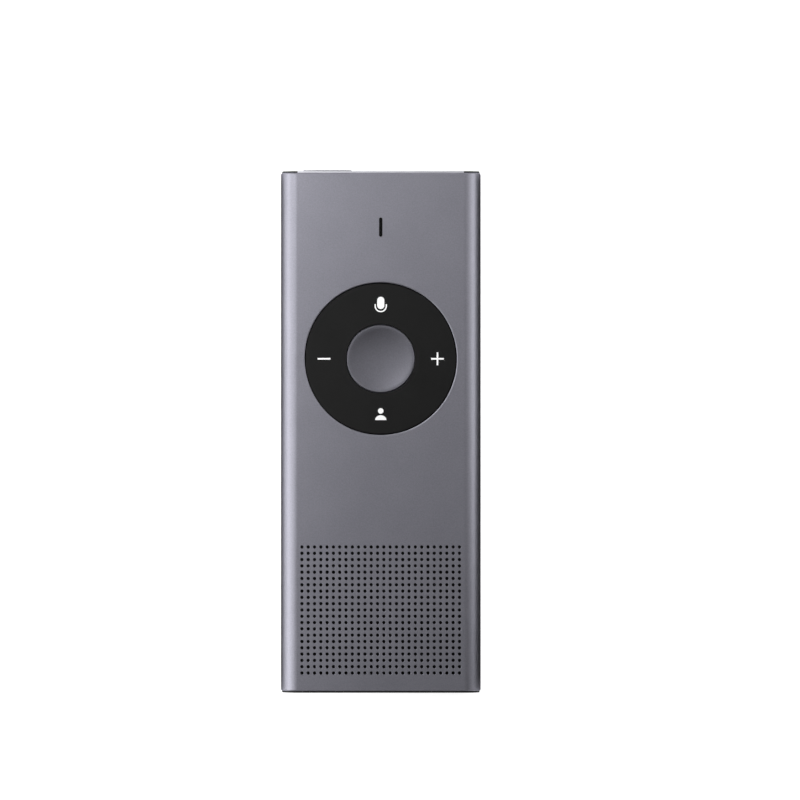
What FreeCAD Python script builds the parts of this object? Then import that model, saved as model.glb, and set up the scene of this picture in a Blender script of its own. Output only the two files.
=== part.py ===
"""Handheld translator: a slim drilled bar with a rocking ring key, as a parametric document.

Millimetres, lying on its back: X across the front, Y up the front towards the power button,
Z out of the front. The origin is the middle of the flat back face.
"""
import FreeCAD, Part
import os
import re
import Sketcher
from FreeCAD import Vector

doc = FreeCAD.newDocument("handheld_translator")
sheet = doc.addObject("Spreadsheet::Sheet", "sizes")

# Driving sizes, each set once: name, value and what it measures
SIZES = [
    ("body_width", 47.6, "width of the sleeve"),
    ("body_length", 124.2, "length over both end caps"),
    ("body_depth", 12.0, "thickness from back to front"),
    ("edge_radius", 4.0, "outer radius of the sleeve's four long edges"),
    ("wall", 1.2, "wall of the extruded sleeve"),
    ("end_chamfer", 0.25, "bevel round each end of the sleeve"),
    ("cap_plate", 0.4, "thickness of an end cap's outer plate"),
    ("cap_plug", 2.4, "depth of an end cap's plug inside the sleeve"),
    ("fit_gap", 0.1, "assembly clearance between fixed pieces"),
    ("press_travel", 0.25, "how far every key goes down"),
    ("press_gap", 0.05, "what is left between a pressed key and its switch"),
    ("ring_inset", 44.7, "from the top end down to the ring key's middle"),
    ("ring_width", 35.8, "outer diameter of the ring key"),
    ("ring_gap", 0.2, "gap round the ring key"),
    ("ring_recess", 0.05, "how far the key faces lie below the front"),
    ("hole_bevel", 0.3, "bevel round the ring key's hole"),
    ("tab_reach", 1.2, "how far the ring's hidden tabs reach under the wall"),
    ("tab_width", 8.0, "width of the ring's hidden tabs"),
    ("tab_thickness", 0.6, "thickness of the ring's hidden tabs"),
    ("tab_room", 0.6, "room above the tabs for the ring to rock"),
    ("key_width", 16.2, "diameter of the centre key"),
    ("key_gap", 0.15, "gap round the centre key"),
    ("key_bevel", 0.2, "bevel round the centre key's face"),
    ("key_dish", 0.7, "depth of the hollow in the centre key"),
    ("key_rim", 0.3, "flat rim round the hollow"),
    ("key_foot_lip", 0.6, "how far the centre key's square foot reaches under the ring"),
    ("key_foot_room", 0.5, "room between the foot and the ring"),
    ("key_foot_thickness", 0.4, "thickness of the centre key's foot"),
    ("stem_width", 4.0, "side of the centre key's stem"),
    ("sign_radius", 13.0, "distance of each ring switch from the middle"),
    ("nub_size", 1.8, "side of each pressing nub under the ring"),
    ("dome_width", 5.0, "diameter of a switch dome"),
    ("dome_height", 0.3, "height of a switch dome"),
    ("frame_inner", 31.8, "inner diameter of the ring's pivot frame"),
    ("frame_outer", 35.6, "outer diameter of the ring's pivot frame"),
    ("frame_thickness", 0.3, "sheet of the pivot frame"),
    ("frame_reach", 21.6, "how far the pivot frame's ears reach out"),
    ("ear_width", 3.6, "width of the pivot frame's ears"),
    ("ridge_width", 0.5, "width of a pivot ridge"),
    ("ridge_length", 1.6, "length of a pivot ridge"),
    ("pivot_gap", 0.03, "running gap on a pivot ridge"),
    ("slot_inset", 13.35, "from the top end down to the indicator slot's middle"),
    ("slot_width", 0.8, "width of the indicator slot"),
    ("slot_length", 4.6, "length of the indicator slot"),
    ("grille_pitch", 1.5, "spacing of the drilled holes"),
    ("grille_hole", 0.8, "diameter of a drilled hole"),
    ("grille_columns", 26, "drilled holes across"),
    ("grille_rows", 21, "drilled holes up the front"),
    ("grille_inset", 19.7, "from the bottom end up to the drilled field's middle"),
    ("button_inset", 11.1, "from the left side to the power button's middle"),
    ("button_length", 11.7, "length of the power button"),
    ("button_height", 2.4, "height of the power button"),
    ("button_proud", 0.3, "how far the power button stands out"),
    ("button_gap", 0.12, "gap round the power button"),
    ("button_lip", 0.8, "how far the power button's flange reaches"),
    ("button_flange", 0.6, "thickness of the power button's flange"),
    ("button_seat", 0.6, "thickness of the cap in front of the flange"),
    ("switch_length", 5.0, "length of the power switch"),
    ("switch_depth", 2.0, "depth of the power switch"),
    ("switch_height", 2.0, "height of the power switch"),
    ("plunger_size", 1.4, "side of the power switch's plunger"),
    ("plunger_length", 0.4, "length of the power switch's plunger"),
    ("tray_floor", 0.7, "floor of the inner tray"),
    ("tray_rail", 2.6, "width of the tray's side rails"),
    ("tray_wall", 1.2, "wall across the tray between battery and speaker"),
    ("board_level", 7.0, "underside of the main board above the back"),
    ("board_thickness", 0.8, "thickness of both boards"),
    ("bracket_thickness", 0.3, "sheet of the key bracket"),
    ("bracket_length", 44.0, "length of the key bracket"),
    ("bracket_opening", 39.6, "opening of the key bracket"),
    ("screw_width", 1.4, "thread diameter of every screw"),
    ("screw_length", 4.0, "length of every screw under its head"),
    ("screw_head", 2.4, "diameter of a screw head"),
    ("screw_head_height", 0.6, "height of a screw head"),
    ("battery_width", 36.0, "width of the battery"),
    ("battery_length", 66.0, "length of the battery"),
    ("battery_thickness", 3.9, "thickness of the battery"),
    ("battery_inset", 47.1, "from the top end down to the battery's middle"),
    ("tape_thickness", 0.1, "thickness of adhesive tape and mesh"),
    ("speaker_width", 36.0, "width of the speaker"),
    ("speaker_length", 24.0, "length of the speaker"),
    ("speaker_thickness", 3.0, "height of the speaker's frame"),
    ("speaker_rim", 1.6, "rim of the speaker's frame"),
    ("speaker_magnet", 13.0, "side of the speaker's magnet"),
    ("magnet_height", 1.6, "height of the speaker's magnet"),
    ("cone_edge", 0.8, "soft edge left free round the speaker's cone"),
    ("gasket_thickness", 0.3, "thickness of the speaker's gasket"),
    ("socket_width", 8.94, "outer width of the charging socket's shell"),
    ("socket_height", 3.16, "outer height of the charging socket's shell"),
    ("socket_length", 7.3, "length of the charging socket's shell"),
    ("socket_sheet", 0.3, "sheet of the charging socket's shell"),
    ("tongue_width", 6.69, "width of the charging socket's tongue"),
    ("tongue_height", 0.7, "thickness of the charging socket's tongue"),
    ("tongue_length", 5.2, "length of the charging socket's tongue"),
    ("charging_board_length", 30.0, "length of the charging board"),
    ("charging_board_width", 24.0, "width of the charging board"),
    ("cap_screw_x", 15.5, "distance of the cap screws from the middle"),
    ("boss_width", 4.0, "width of the tray's bosses for the cap screws"),
    ("boss_length", 3.0, "length of the tray's bosses for the cap screws"),
    ("thread_gap", 0.03, "gap round a screw's thread in its hole"),
    ("sound_hole", 0.8, "side of a microphone's sound hole"),
    ("microphone_x", 8.5, "place of both microphones across"),
    ("microphone_width", 3.8, "width of a microphone"),
    ("microphone_length", 2.9, "length of a microphone"),
    ("microphone_height", 2.0, "height of a microphone"),
    ("flex_width", 8.0, "width of the flat cable"),
    ("flex_thickness", 0.15, "thickness of the flat cable"),
    ("shield_width", 28.0, "width of the shield can"),
    ("shield_length", 14.0, "length of the shield can"),
    ("shield_height", 1.6, "height of the shield can"),
    ("shield_sheet", 0.2, "sheet of the shield can"),
    ("shield_margin", 1.0, "board left free on either side of the shield can"),
    ("chip_height", 0.9, "height of the chips"),
    ("processor_size", 12.0, "side of the processor"),
    ("memory_width", 8.0, "width of the memory chip"),
    ("memory_length", 10.0, "length of the memory chip"),
    ("chip_space", 2.0, "space between the two chips"),
    ("radio_inset", 9.5, "from the tray's right side to the radio module's middle"),
    ("radio_width", 13.0, "width of the radio module"),
    ("radio_length", 11.0, "length of the radio module"),
    ("radio_height", 1.6, "height of the radio module"),
    ("antenna_length", 18.0, "length of the antenna"),
    ("antenna_inset", 4.5, "from the tray's right side to the antenna's end"),
    ("antenna_height", 2.1, "height of the antenna"),
    ("antenna_thickness", 0.2, "thickness of the antenna"),
    ("battery_circuit_width", 28.0, "width of the battery's circuit"),
    ("battery_circuit_length", 2.6, "length of the battery's circuit"),
    ("battery_circuit_height", 2.0, "height of the battery's circuit"),
    ("connector_width", 8.0, "width of the battery's connector"),
    ("spring_x", 10.0, "distance of the speaker's springs from the middle"),
    ("spring_size", 1.6, "side of a speaker spring"),
]

# Sizes that follow from the driving sizes
DERIVED = {
    "sleeve_end": "body_length / 2 - cap_plate",
    "cap_face": "body_length / 2",
    "ring_centre_y": "cap_face - ring_inset",
    "slot_centre_y": "cap_face - slot_inset",
    "grille_centre_y": "grille_inset - cap_face",
    "battery_centre_y": "cap_face - battery_inset",
    "button_centre_x": "button_inset - body_width / 2",
    "radio_x": "tray_half - radio_inset",
    "antenna_right": "tray_half - antenna_inset",
    "inner_radius": "edge_radius - wall",
    "inner_half": "body_width / 2 - wall",
    "ceiling": "body_depth - wall",
    "mid_depth": "body_depth / 2",
    "tray_half": "inner_half - fit_gap",
    "tray_low": "wall + fit_gap",
    "tray_top": "tray_low + tray_floor",
    "bay_half": "tray_half - tray_rail",
    "plug_end": "sleeve_end - cap_plug",
    "tray_end": "plug_end - fit_gap",
    "key_face": "body_depth - ring_recess",
    "ring_radius": "ring_width / 2",
    "hole_radius": "ring_radius + ring_gap",
    "tab_radius": "hole_radius + tab_reach",
    "tab_top": "ceiling - tab_room",
    "ring_bottom": "tab_top - tab_thickness",
    "key_radius": "key_width / 2",
    "ring_bore": "key_radius + key_gap",
    "foot_half": "ring_bore + key_foot_lip",
    "foot_top": "ring_bottom - key_foot_room",
    "foot_bottom": "foot_top - key_foot_thickness",
    "dish_half": "key_radius - key_bevel - key_rim",
    "dish_sphere": "(dish_half * dish_half + key_dish * key_dish) / (2 * key_dish)",
    "board_top": "board_level + board_thickness",
    "dome_top": "board_top + dome_height",
    "nub_bottom": "dome_top + press_travel + press_gap",
    "frame_bottom": "dome_top + 2 * press_travel",
    "frame_top": "frame_bottom + frame_thickness",
    "ridge_radius": "(frame_inner + frame_outer) / 4",
    "bracket_top": "board_top + bracket_thickness",
    "grille_left": "0 - grille_pitch * (grille_columns - 1) / 2",
    "grille_low": "grille_centre_y - grille_pitch * (grille_rows - 1) / 2",
    "grille_high": "grille_centre_y + grille_pitch * (grille_rows - 1) / 2",
    "hole_corner": "grille_hole / 2 * sqrt(4 * pi / (3 * sqrt(3)))",
    "hole_side": "hole_corner * sqrt(3)",
    "mesh_half": "grille_pitch * (grille_columns - 1) / 2 + grille_hole",
    "speaker_top": "ceiling - tape_thickness - gasket_thickness",
    "speaker_low": "speaker_top - speaker_thickness",
    "speaker_south": "grille_centre_y - speaker_length / 2",
    "speaker_north": "grille_centre_y + speaker_length / 2",
    "button_face": "cap_face + button_proud",
    "seat_face": "sleeve_end - button_seat",
    "flange_outer": "seat_face - press_gap",
    "flange_inner": "flange_outer - button_flange",
    "plunger_tip": "flange_inner - press_travel - press_gap",
    "switch_outer": "plunger_tip - plunger_length",
    "board_end": "tray_end",
    "board_start": "ring_centre_y - bracket_length / 2 - shield_length - 2 * shield_margin",
    "battery_low": "tray_top + tape_thickness",
    "battery_top": "battery_low + battery_thickness",
    "cross_wall": "board_start - tray_wall - fit_gap",
    "socket_low": "mid_depth - socket_height / 2",
    "charging_top": "socket_low",
    "charging_low": "charging_top - board_thickness",
    "shield_south": "board_start + shield_margin",
    "charging_south": "fit_gap + tray_wall - tray_end",
}

names = [alias for alias, value, meaning in SIZES]
for row, (alias, value, meaning) in enumerate(SIZES, start=1):
    sheet.set(f"A{row}", meaning)
    sheet.set(f"B{row}", str(value))
    sheet.setAlias(f"B{row}", alias)
doc.recompute()


def bound(formula):
    """Write a formula in size names as an expression on the sheet."""
    def swap(match):
        word = match.group()
        if word in DERIVED:
            return "(" + bound(DERIVED[word]) + ")"
        if word in names:
            return "sizes." + word
        return word
    return re.sub(r"[a-z][a-z_]*", swap, str(formula))


def number(formula):
    """The present value of a formula in size names."""
    return float(sheet.evalExpression(bound(formula)))


def bind(piece, target, formula):
    piece.setExpression(target, bound(formula))


def checked(piece):
    """Recompute, and stop if this piece failed."""
    doc.recompute()
    if "Invalid" in piece.State or "Error" in piece.State:
        raise RuntimeError("failed: " + piece.Label)
    return piece


# Sketch helpers: every point is pinned to the sheet
def sketch_on(body, role, name, offset="0"):
    """A sketch on one of the body's own planes, moved along the plane's normal."""
    plane = next(item for item in body.Origin.OriginFeatures if item.Role == role)
    sketch = body.newObject("Sketcher::SketchObject", name)
    sketch.AttachmentSupport = [(plane, "")]
    sketch.MapMode = "FlatFace"
    bind(sketch, "AttachmentOffset.Base.z", offset)
    return sketch


def pin(sketch, kind, geometry, point, formula):
    constraint = Sketcher.Constraint(kind, -1, 1, geometry, point, number(formula))
    index = sketch.addConstraint(constraint)
    sketch.setExpression(f"Constraints[{index}]", bound(formula))


def pin_radius(sketch, geometry, formula):
    index = sketch.addConstraint(Sketcher.Constraint("Radius", geometry, number(formula)))
    sketch.setExpression(f"Constraints[{index}]", bound(formula))


def outline(sketch, corners):
    """A closed outline of straight lines through pairs of formulas."""
    count = len(corners)
    first = sketch.GeometryCount
    points = [Vector(number(across), number(up), 0) for across, up in corners]
    for index in range(count):
        sketch.addGeometry(Part.LineSegment(points[index], points[(index + 1) % count]), False)
    for index, (across, up) in enumerate(corners):
        following = first + (index + 1) % count
        sketch.addConstraint(Sketcher.Constraint("Coincident", first + index, 2, following, 1))
        pin(sketch, "DistanceX", first + index, 1, across)
        pin(sketch, "DistanceY", first + index, 1, up)


def rectangle(sketch, left, right, low, high):
    outline(sketch, [(left, low), (right, low), (right, high), (left, high)])


def octagon(sketch, across, up, size):
    """A regular eight-sided outline, given by its middle and its size across the flats."""
    half = f"(({size}) / 2)"
    corner = f"({half} * (sqrt(2) - 1))"
    steps = [
        (half, corner), (corner, half), (f"0 - {corner}", half), (f"0 - {half}", corner),
        (f"0 - {half}", f"0 - {corner}"), (f"0 - {corner}", f"0 - {half}"),
        (corner, f"0 - {half}"), (half, f"0 - {corner}"),
    ]
    outline(sketch, [(f"({across}) + {right}", f"({up}) + {forward}") for right, forward in steps])


def clipped_section(sketch, half, low, high, clip):
    """A rectangle about the middle line with four slanted corners."""
    side = f"({half}) - ({clip})"
    outline(sketch, [
        (f"0 - ({side})", low), (side, low), (half, f"({low}) + ({clip})"),
        (half, f"({high}) - ({clip})"), (side, high), (f"0 - ({side})", high),
        (f"0 - ({half})", f"({high}) - ({clip})"), (f"0 - ({half})", f"({low}) + ({clip})"),
    ])


def circle(sketch, across, up, radius):
    centre = Vector(number(across), number(up), 0)
    index = sketch.addGeometry(Part.Circle(centre, Vector(0, 0, 1), number(radius)), False)
    pin(sketch, "DistanceX", index, 3, across)
    pin(sketch, "DistanceY", index, 3, up)
    pin_radius(sketch, index, radius)


def pill(sketch, across, up, length, width, upright):
    """A slot with round ends, given by its middle, length and width."""
    reach = f"(({length}) - ({width})) / 2"
    half = f"({width}) / 2"
    if upright:
        ends = [(across, f"({up}) - {reach}", 180), (across, f"({up}) + {reach}", 0)]
    else:
        ends = [(f"({across}) + {reach}", up, -90), (f"({across}) - {reach}", up, 90)]
    arcs = []
    for end_across, end_up, start in ends:
        centre = Vector(number(end_across), number(end_up), 0)
        round_end = Part.Circle(centre, Vector(0, 0, 1), number(half))
        first_angle = FreeCAD.Units.Quantity(f"{start} deg").getValueAs("rad").Value
        last_angle = FreeCAD.Units.Quantity(f"{start + 180} deg").getValueAs("rad").Value
        index = sketch.addGeometry(Part.ArcOfCircle(round_end, first_angle, last_angle), False)
        pin(sketch, "DistanceX", index, 3, end_across)
        pin(sketch, "DistanceY", index, 3, end_up)
        pin_radius(sketch, index, half)
        arcs.append(index)
    lower, upper = arcs
    for start_arc, end_arc in ((lower, upper), (upper, lower)):
        start_point = sketch.getPoint(start_arc, 2)
        side = sketch.addGeometry(Part.LineSegment(start_point, sketch.getPoint(end_arc, 1)), False)
        sketch.addConstraint(Sketcher.Constraint("Tangent", start_arc, 2, side, 1))
        sketch.addConstraint(Sketcher.Constraint("Tangent", side, 2, end_arc, 1))


# Feature helpers
def pad(body, sketch, name, length, both_ways=False, backwards=False):
    feature = body.newObject("PartDesign::Pad", name)
    feature.Profile = sketch
    feature.SideType = "Symmetric" if both_ways else "One side"
    feature.Reversed = backwards
    bind(feature, "Length", length)
    return checked(feature)


def pocket(body, sketch, name, depth, both_ways=False, backwards=False):
    before = body.Shape.Volume
    feature = body.newObject("PartDesign::Pocket", name)
    feature.Profile = sketch
    feature.SideType = "Symmetric" if both_ways else "One side"
    feature.Reversed = backwards
    bind(feature, "Length", depth)
    checked(feature)
    if not feature.Shape.Volume < before:
        raise RuntimeError("cut nothing: " + name)
    return feature


def revolve(body, sketch, name):
    feature = body.newObject("PartDesign::Revolution", name)
    feature.Profile = sketch
    feature.ReferenceAxis = (sketch, ["V_Axis"])
    feature.Angle = 360
    return checked(feature)


def soften(body, kind, name, base, size, wanted):
    """A fillet or chamfer on the edges of base that wanted picks."""
    edges = [f"Edge{index}" for index, edge in enumerate(base.Shape.Edges, start=1) if wanted(edge)]
    feature = body.newObject(kind, name)
    feature.Base = (base, edges)
    bind(feature, "Radius" if kind.endswith("Fillet") else "Size", size)
    return checked(feature)


def new_body(label):
    body = doc.addObject("PartDesign::Body", label)
    body.Label = label
    return body


def block(label, across, along, up):
    """A box between pairs of formulas along X, Y and Z."""
    piece = doc.addObject("Part::Box", label)
    sides = zip(("Length", "Width", "Height"), ("x", "y", "z"), (across, along, up))
    for side, axis, (low, high) in sides:
        bind(piece, side, f"({high}) - ({low})")
        bind(piece, f"Placement.Base.{axis}", low)
    return checked(piece)


def bolt(label, centre, width, length, axis=Vector(0, 0, 1)):
    """An eight-sided bar from a foot point, along an axis."""
    piece = doc.addObject("Part::Prism", label)
    piece.Polygon = 8
    piece.Placement.Rotation = FreeCAD.Rotation(Vector(0, 0, 1), axis)
    bind(piece, "Circumradius", f"({width}) / 2")
    bind(piece, "Height", length)
    for letter, place in zip("xyz", centre):
        bind(piece, f"Placement.Base.{letter}", place)
    return checked(piece)


def joined(label, pieces):
    piece = doc.addObject("Part::MultiFuse", label)
    piece.Shapes = pieces
    return checked(piece)


def cut_from(label, base, tool):
    piece = doc.addObject("Part::Cut", label)
    piece.Base = base
    piece.Tool = tool
    return checked(piece)


def group(label, pieces):
    """Separate like pieces kept together."""
    piece = doc.addObject("Part::Compound", label)
    piece.Links = pieces
    return checked(piece)


def rounded_section(sketch, half, low, high, radius):
    """A rectangle about the middle line with four round corners."""
    inner = f"({half}) - ({radius})"
    corners = [
        (inner, f"({low}) + ({radius})", -90),
        (inner, f"({high}) - ({radius})", 0),
        (f"0 - ({inner})", f"({high}) - ({radius})", 90),
        (f"0 - ({inner})", f"({low}) + ({radius})", 180),
    ]
    arcs = []
    for across, up, start in corners:
        centre = Vector(number(across), number(up), 0)
        corner = Part.Circle(centre, Vector(0, 0, 1), number(radius))
        first_angle = FreeCAD.Units.Quantity(f"{start} deg").getValueAs("rad").Value
        last_angle = FreeCAD.Units.Quantity(f"{start + 90} deg").getValueAs("rad").Value
        index = sketch.addGeometry(Part.ArcOfCircle(corner, first_angle, last_angle), False)
        pin(sketch, "DistanceX", index, 3, across)
        pin(sketch, "DistanceY", index, 3, up)
        pin_radius(sketch, index, radius)
        arcs.append(index)
    for place, arc in enumerate(arcs):
        following = arcs[(place + 1) % 4]
        start_point = sketch.getPoint(arc, 2)
        side = sketch.addGeometry(Part.LineSegment(start_point, sketch.getPoint(following, 1)), False)
        sketch.addConstraint(Sketcher.Constraint("Tangent", arc, 2, side, 1))
        sketch.addConstraint(Sketcher.Constraint("Tangent", side, 2, following, 1))


def make_sleeve():
    """The extruded and drilled aluminium sleeve."""
    body = new_body("sleeve_housing")
    section = sketch_on(body, "XZ_Plane", "sleeve_section")
    rounded_section(section, "body_width / 2", "0", "body_depth", "edge_radius")
    rounded_section(section, "inner_half", "wall", "ceiling", "inner_radius")
    extrusion = pad(body, section, "sleeve_extrusion", "2 * sleeve_end", both_ways=True)

    end = number("sleeve_end")
    inside = number("inner_half") + 1e-3
    low = number("wall") - 1e-3
    high = number("ceiling") + 1e-3

    def on_outer_end(edge):
        box = edge.BoundBox
        at_end = abs(abs(box.Center.y) - end) < 1e-6 and box.YLength < 1e-6
        outside = box.XMax > inside or box.XMin < -inside or box.ZMax > high or box.ZMin < low
        return at_end and outside

    soften(body, "PartDesign::Chamfer", "end_bevel", extrusion, "end_chamfer", on_outer_end)

    opening = sketch_on(body, "XY_Plane", "ring_opening", "body_depth")
    circle(opening, "0", "ring_centre_y", "hole_radius")
    ring_hole = pocket(body, opening, "ring_hole", "2 * wall")
    hole_radius = number("hole_radius")
    top = number("body_depth")

    def round_the_ring(edge):
        curve = edge.Curve
        is_round = isinstance(curve, Part.Circle) and abs(curve.Radius - hole_radius) < 1e-6
        return is_round and abs(edge.BoundBox.ZMin - top) < 1e-6

    soften(body, "PartDesign::Chamfer", "ring_hole_bevel", ring_hole, "hole_bevel", round_the_ring)

    slot = sketch_on(body, "XY_Plane", "indicator_slot", "body_depth")
    pill(slot, "0", "slot_centre_y", "slot_length", "slot_width", upright=True)
    pocket(body, slot, "indicator_slot_cut", "2 * wall")

    # Each drilled hole has three sides and the area of the round one: there are hundreds of them
    first_hole = sketch_on(body, "XY_Plane", "first_sound_hole", "body_depth")
    outline(first_hole, [
        ("grille_left", "grille_low + hole_corner"),
        ("grille_left - hole_side / 2", "grille_low - hole_corner / 2"),
        ("grille_left + hole_side / 2", "grille_low - hole_corner / 2"),
    ])
    drilled = pocket(body, first_hole, "sound_hole_cut", "2 * wall")
    grille = body.newObject("PartDesign::LinearPattern", "sound_hole_grid")
    grille.Originals = [drilled]
    grille.Direction = (first_hole, ["H_Axis"])
    grille.Direction2 = (first_hole, ["V_Axis"])
    bind(grille, "Length", "grille_pitch * (grille_columns - 1)")
    bind(grille, "Length2", "grille_pitch * (grille_rows - 1)")
    bind(grille, "Occurrences", "grille_columns")
    bind(grille, "Occurrences2", "grille_rows")
    body.Tip = grille
    checked(grille)
    return body


def make_end_cap(label, side):
    """The plate and plug of one end cap; side is 1 at the top and -1 at the bottom."""
    body = new_body(label)
    # The XZ plane's normal points to -Y, so offsets and lengths run from the outside in
    plate = sketch_on(body, "XZ_Plane", label + "_plate", f"0 - ({side}) * sleeve_end")
    rounded_section(
        plate, "body_width / 2 - end_chamfer", "end_chamfer", "body_depth - end_chamfer",
        "edge_radius - end_chamfer",
    )
    pad(body, plate, label + "_plate_pad", "cap_plate", backwards=side > 0)
    plug = sketch_on(body, "XZ_Plane", label + "_plug", f"0 - ({side}) * sleeve_end")
    clipped_section(plug, "tray_half", "tray_low", "ceiling - fit_gap", "inner_radius")
    pad(body, plug, label + "_plug_pad", "cap_plug", backwards=side < 0)
    return body


def make_top_cap():
    """The top cap with the power button's seat and a sound hole."""
    label = "top_end_cap"
    body = make_end_cap(label, 1)
    window = sketch_on(body, "XZ_Plane", "button_window", "0 - cap_face")
    pill(
        window, "button_centre_x", "mid_depth",
        "button_length + 2 * button_gap", "button_height + 2 * button_gap", upright=False,
    )
    pocket(body, window, "button_window_cut", "cap_plate + cap_plug", backwards=True)
    seat = sketch_on(body, "XZ_Plane", "button_seat_shape", "0 - plug_end")
    rectangle(
        seat,
        "button_centre_x - button_length / 2 - button_lip - button_gap",
        "button_centre_x + button_length / 2 + button_lip + button_gap",
        "mid_depth - button_height / 2 - button_lip - button_gap",
        "mid_depth + button_height / 2 + button_lip + button_gap",
    )
    pocket(body, seat, "button_seat_cut", "cap_plug - button_seat")
    sound = sketch_on(body, "XZ_Plane", "top_sound_hole", "0 - cap_face")
    rectangle(
        sound,
        "microphone_x - sound_hole / 2", "microphone_x + sound_hole / 2",
        "mid_depth - sound_hole / 2", "mid_depth + sound_hole / 2",
    )
    pocket(body, sound, "top_sound_hole_cut", "cap_plate + cap_plug", backwards=True)
    return body


def make_bottom_cap():
    """The bottom cap with the charging socket's mouth, a sound hole and two screw seats."""
    label = "bottom_end_cap"
    body = make_end_cap(label, -1)
    mouth = sketch_on(body, "XZ_Plane", "socket_mouth", "cap_face")
    pill(
        mouth, "0", "mid_depth",
        "socket_width + 2 * fit_gap", "socket_height + 2 * fit_gap", upright=False,
    )
    pocket(body, mouth, "socket_mouth_cut", "cap_plate + cap_plug")
    sound = sketch_on(body, "XZ_Plane", "bottom_sound_hole", "cap_face")
    rectangle(
        sound,
        "microphone_x - sound_hole / 2", "microphone_x + sound_hole / 2",
        "mid_depth - sound_hole / 2", "mid_depth + sound_hole / 2",
    )
    pocket(body, sound, "bottom_sound_hole_cut", "cap_plate + cap_plug")
    shafts = sketch_on(body, "XZ_Plane", "cap_screw_holes", "cap_face")
    heads = sketch_on(body, "XZ_Plane", "cap_screw_seats", "cap_face")
    for place in ("0 - cap_screw_x", "cap_screw_x"):
        octagon(shafts, place, "mid_depth", "screw_width + 2 * fit_gap")
        octagon(heads, place, "mid_depth", "screw_head + 2 * fit_gap")
    pocket(body, shafts, "cap_screw_holes_cut", "cap_plate + cap_plug")
    pocket(body, heads, "cap_screw_seats_cut", "screw_head_height + fit_gap")
    return body


def make_ring_key():
    """The black ring key: a wide face, four hidden tabs, four nubs and two pivot ridges."""
    body = new_body("ring_key")
    profile = sketch_on(body, "XZ_Plane", "ring_profile", "0 - ring_centre_y")
    rectangle(profile, "ring_bore", "ring_radius", "ring_bottom", "key_face")
    revolve(body, profile, "ring_turned")
    tabs = sketch_on(body, "XY_Plane", "ring_tabs", "ring_bottom")
    root = "ring_radius - tab_width / 4"
    south, north = "ring_centre_y - tab_width / 2", "ring_centre_y + tab_width / 2"
    rectangle(tabs, root, "tab_radius", south, north)
    rectangle(tabs, "0 - tab_radius", f"0 - ({root})", south, north)
    for low, high in ((root, "tab_radius"), ("0 - tab_radius", f"0 - ({root})")):
        rectangle(
            tabs, "0 - tab_width / 2", "tab_width / 2",
            f"ring_centre_y + {low}", f"ring_centre_y + {high}",
        )
    pad(body, tabs, "ring_tabs_pad", "tab_thickness")
    nubs = sketch_on(body, "XY_Plane", "ring_nubs", "nub_bottom")
    half = "nub_size / 2"
    places = [("sign_radius", "0"), ("0 - sign_radius", "0"), ("0", "sign_radius"), ("0", "0 - sign_radius")]
    for across, up in places:
        rectangle(
            nubs,
            f"{across} - {half}", f"{across} + {half}",
            f"ring_centre_y + {up} - {half}", f"ring_centre_y + {up} + {half}",
        )
    pad(body, nubs, "ring_nubs_pad", "ring_bottom - nub_bottom + tab_thickness / 2")
    ridges = sketch_on(body, "XY_Plane", "ring_ridges", "frame_top + pivot_gap")
    for sense in ("1", "0 - 1"):
        middle = f"ring_centre_y + ({sense}) * ridge_radius"
        rectangle(
            ridges, "0 - ridge_width / 2", "ridge_width / 2",
            f"{middle} - ridge_length / 2", f"{middle} + ridge_length / 2",
        )
    pad(body, ridges, "ring_ridges_pad", "ring_bottom - frame_top - pivot_gap + tab_thickness / 2")
    return body


def make_centre_key():
    """The aluminium centre key: a shallow dish on a plate, with a square foot and a stem."""
    body = new_body("centre_key_turned")
    profile = sketch_on(body, "XZ_Plane", "centre_key_profile", "0 - ring_centre_y")
    outline(profile, [
        ("0", "foot_top"),
        ("key_radius", "foot_top"),
        ("key_radius", "key_face - key_bevel"),
        ("key_radius - key_bevel", "key_face"),
        ("0", "key_face"),
    ])
    revolve(body, profile, "centre_key_revolution")
    foot = sketch_on(body, "XY_Plane", "centre_key_foot", "foot_top")
    rectangle(
        foot, "0 - foot_half", "foot_half", "ring_centre_y - foot_half", "ring_centre_y + foot_half",
    )
    pad(body, foot, "centre_key_foot_pad", "key_foot_thickness", backwards=True)
    stem = sketch_on(body, "XY_Plane", "centre_key_stem", "nub_bottom")
    half = "stem_width / 2"
    rectangle(stem, f"0 - {half}", half, f"ring_centre_y - {half}", f"ring_centre_y + {half}")
    pad(body, stem, "centre_key_stem_pad", "foot_bottom - nub_bottom")
    hollow = doc.addObject("Part::Sphere", "centre_key_hollow")
    hollow.Placement.Rotation = FreeCAD.Rotation(Vector(0, 0, 1), Vector(1, 0, 0))
    bind(hollow, "Radius", "dish_sphere")
    bind(hollow, "Placement.Base.y", "ring_centre_y")
    bind(hollow, "Placement.Base.z", "key_face + dish_sphere - key_dish")
    checked(hollow)
    return cut_from("centre_key", body, hollow)


def make_pivot_frame():
    """The stamped frame between the bracket and the ring key: it lets the ring rock both ways."""
    body = new_body("ring_pivot_frame")
    plan = sketch_on(body, "XY_Plane", "pivot_frame_plan", "frame_bottom")
    octagon(plan, "0", "ring_centre_y", "frame_outer")
    octagon(plan, "0", "ring_centre_y", "frame_inner")
    pad(body, plan, "pivot_frame_pad", "frame_thickness")
    ears = sketch_on(body, "XY_Plane", "pivot_frame_ears", "frame_bottom")
    low, high = "ring_centre_y - ear_width / 2", "ring_centre_y + ear_width / 2"
    rectangle(ears, "ridge_radius", "frame_reach", low, high)
    rectangle(ears, "0 - frame_reach", "0 - ridge_radius", low, high)
    pad(body, ears, "pivot_frame_ears_pad", "frame_thickness")
    return body


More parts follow.
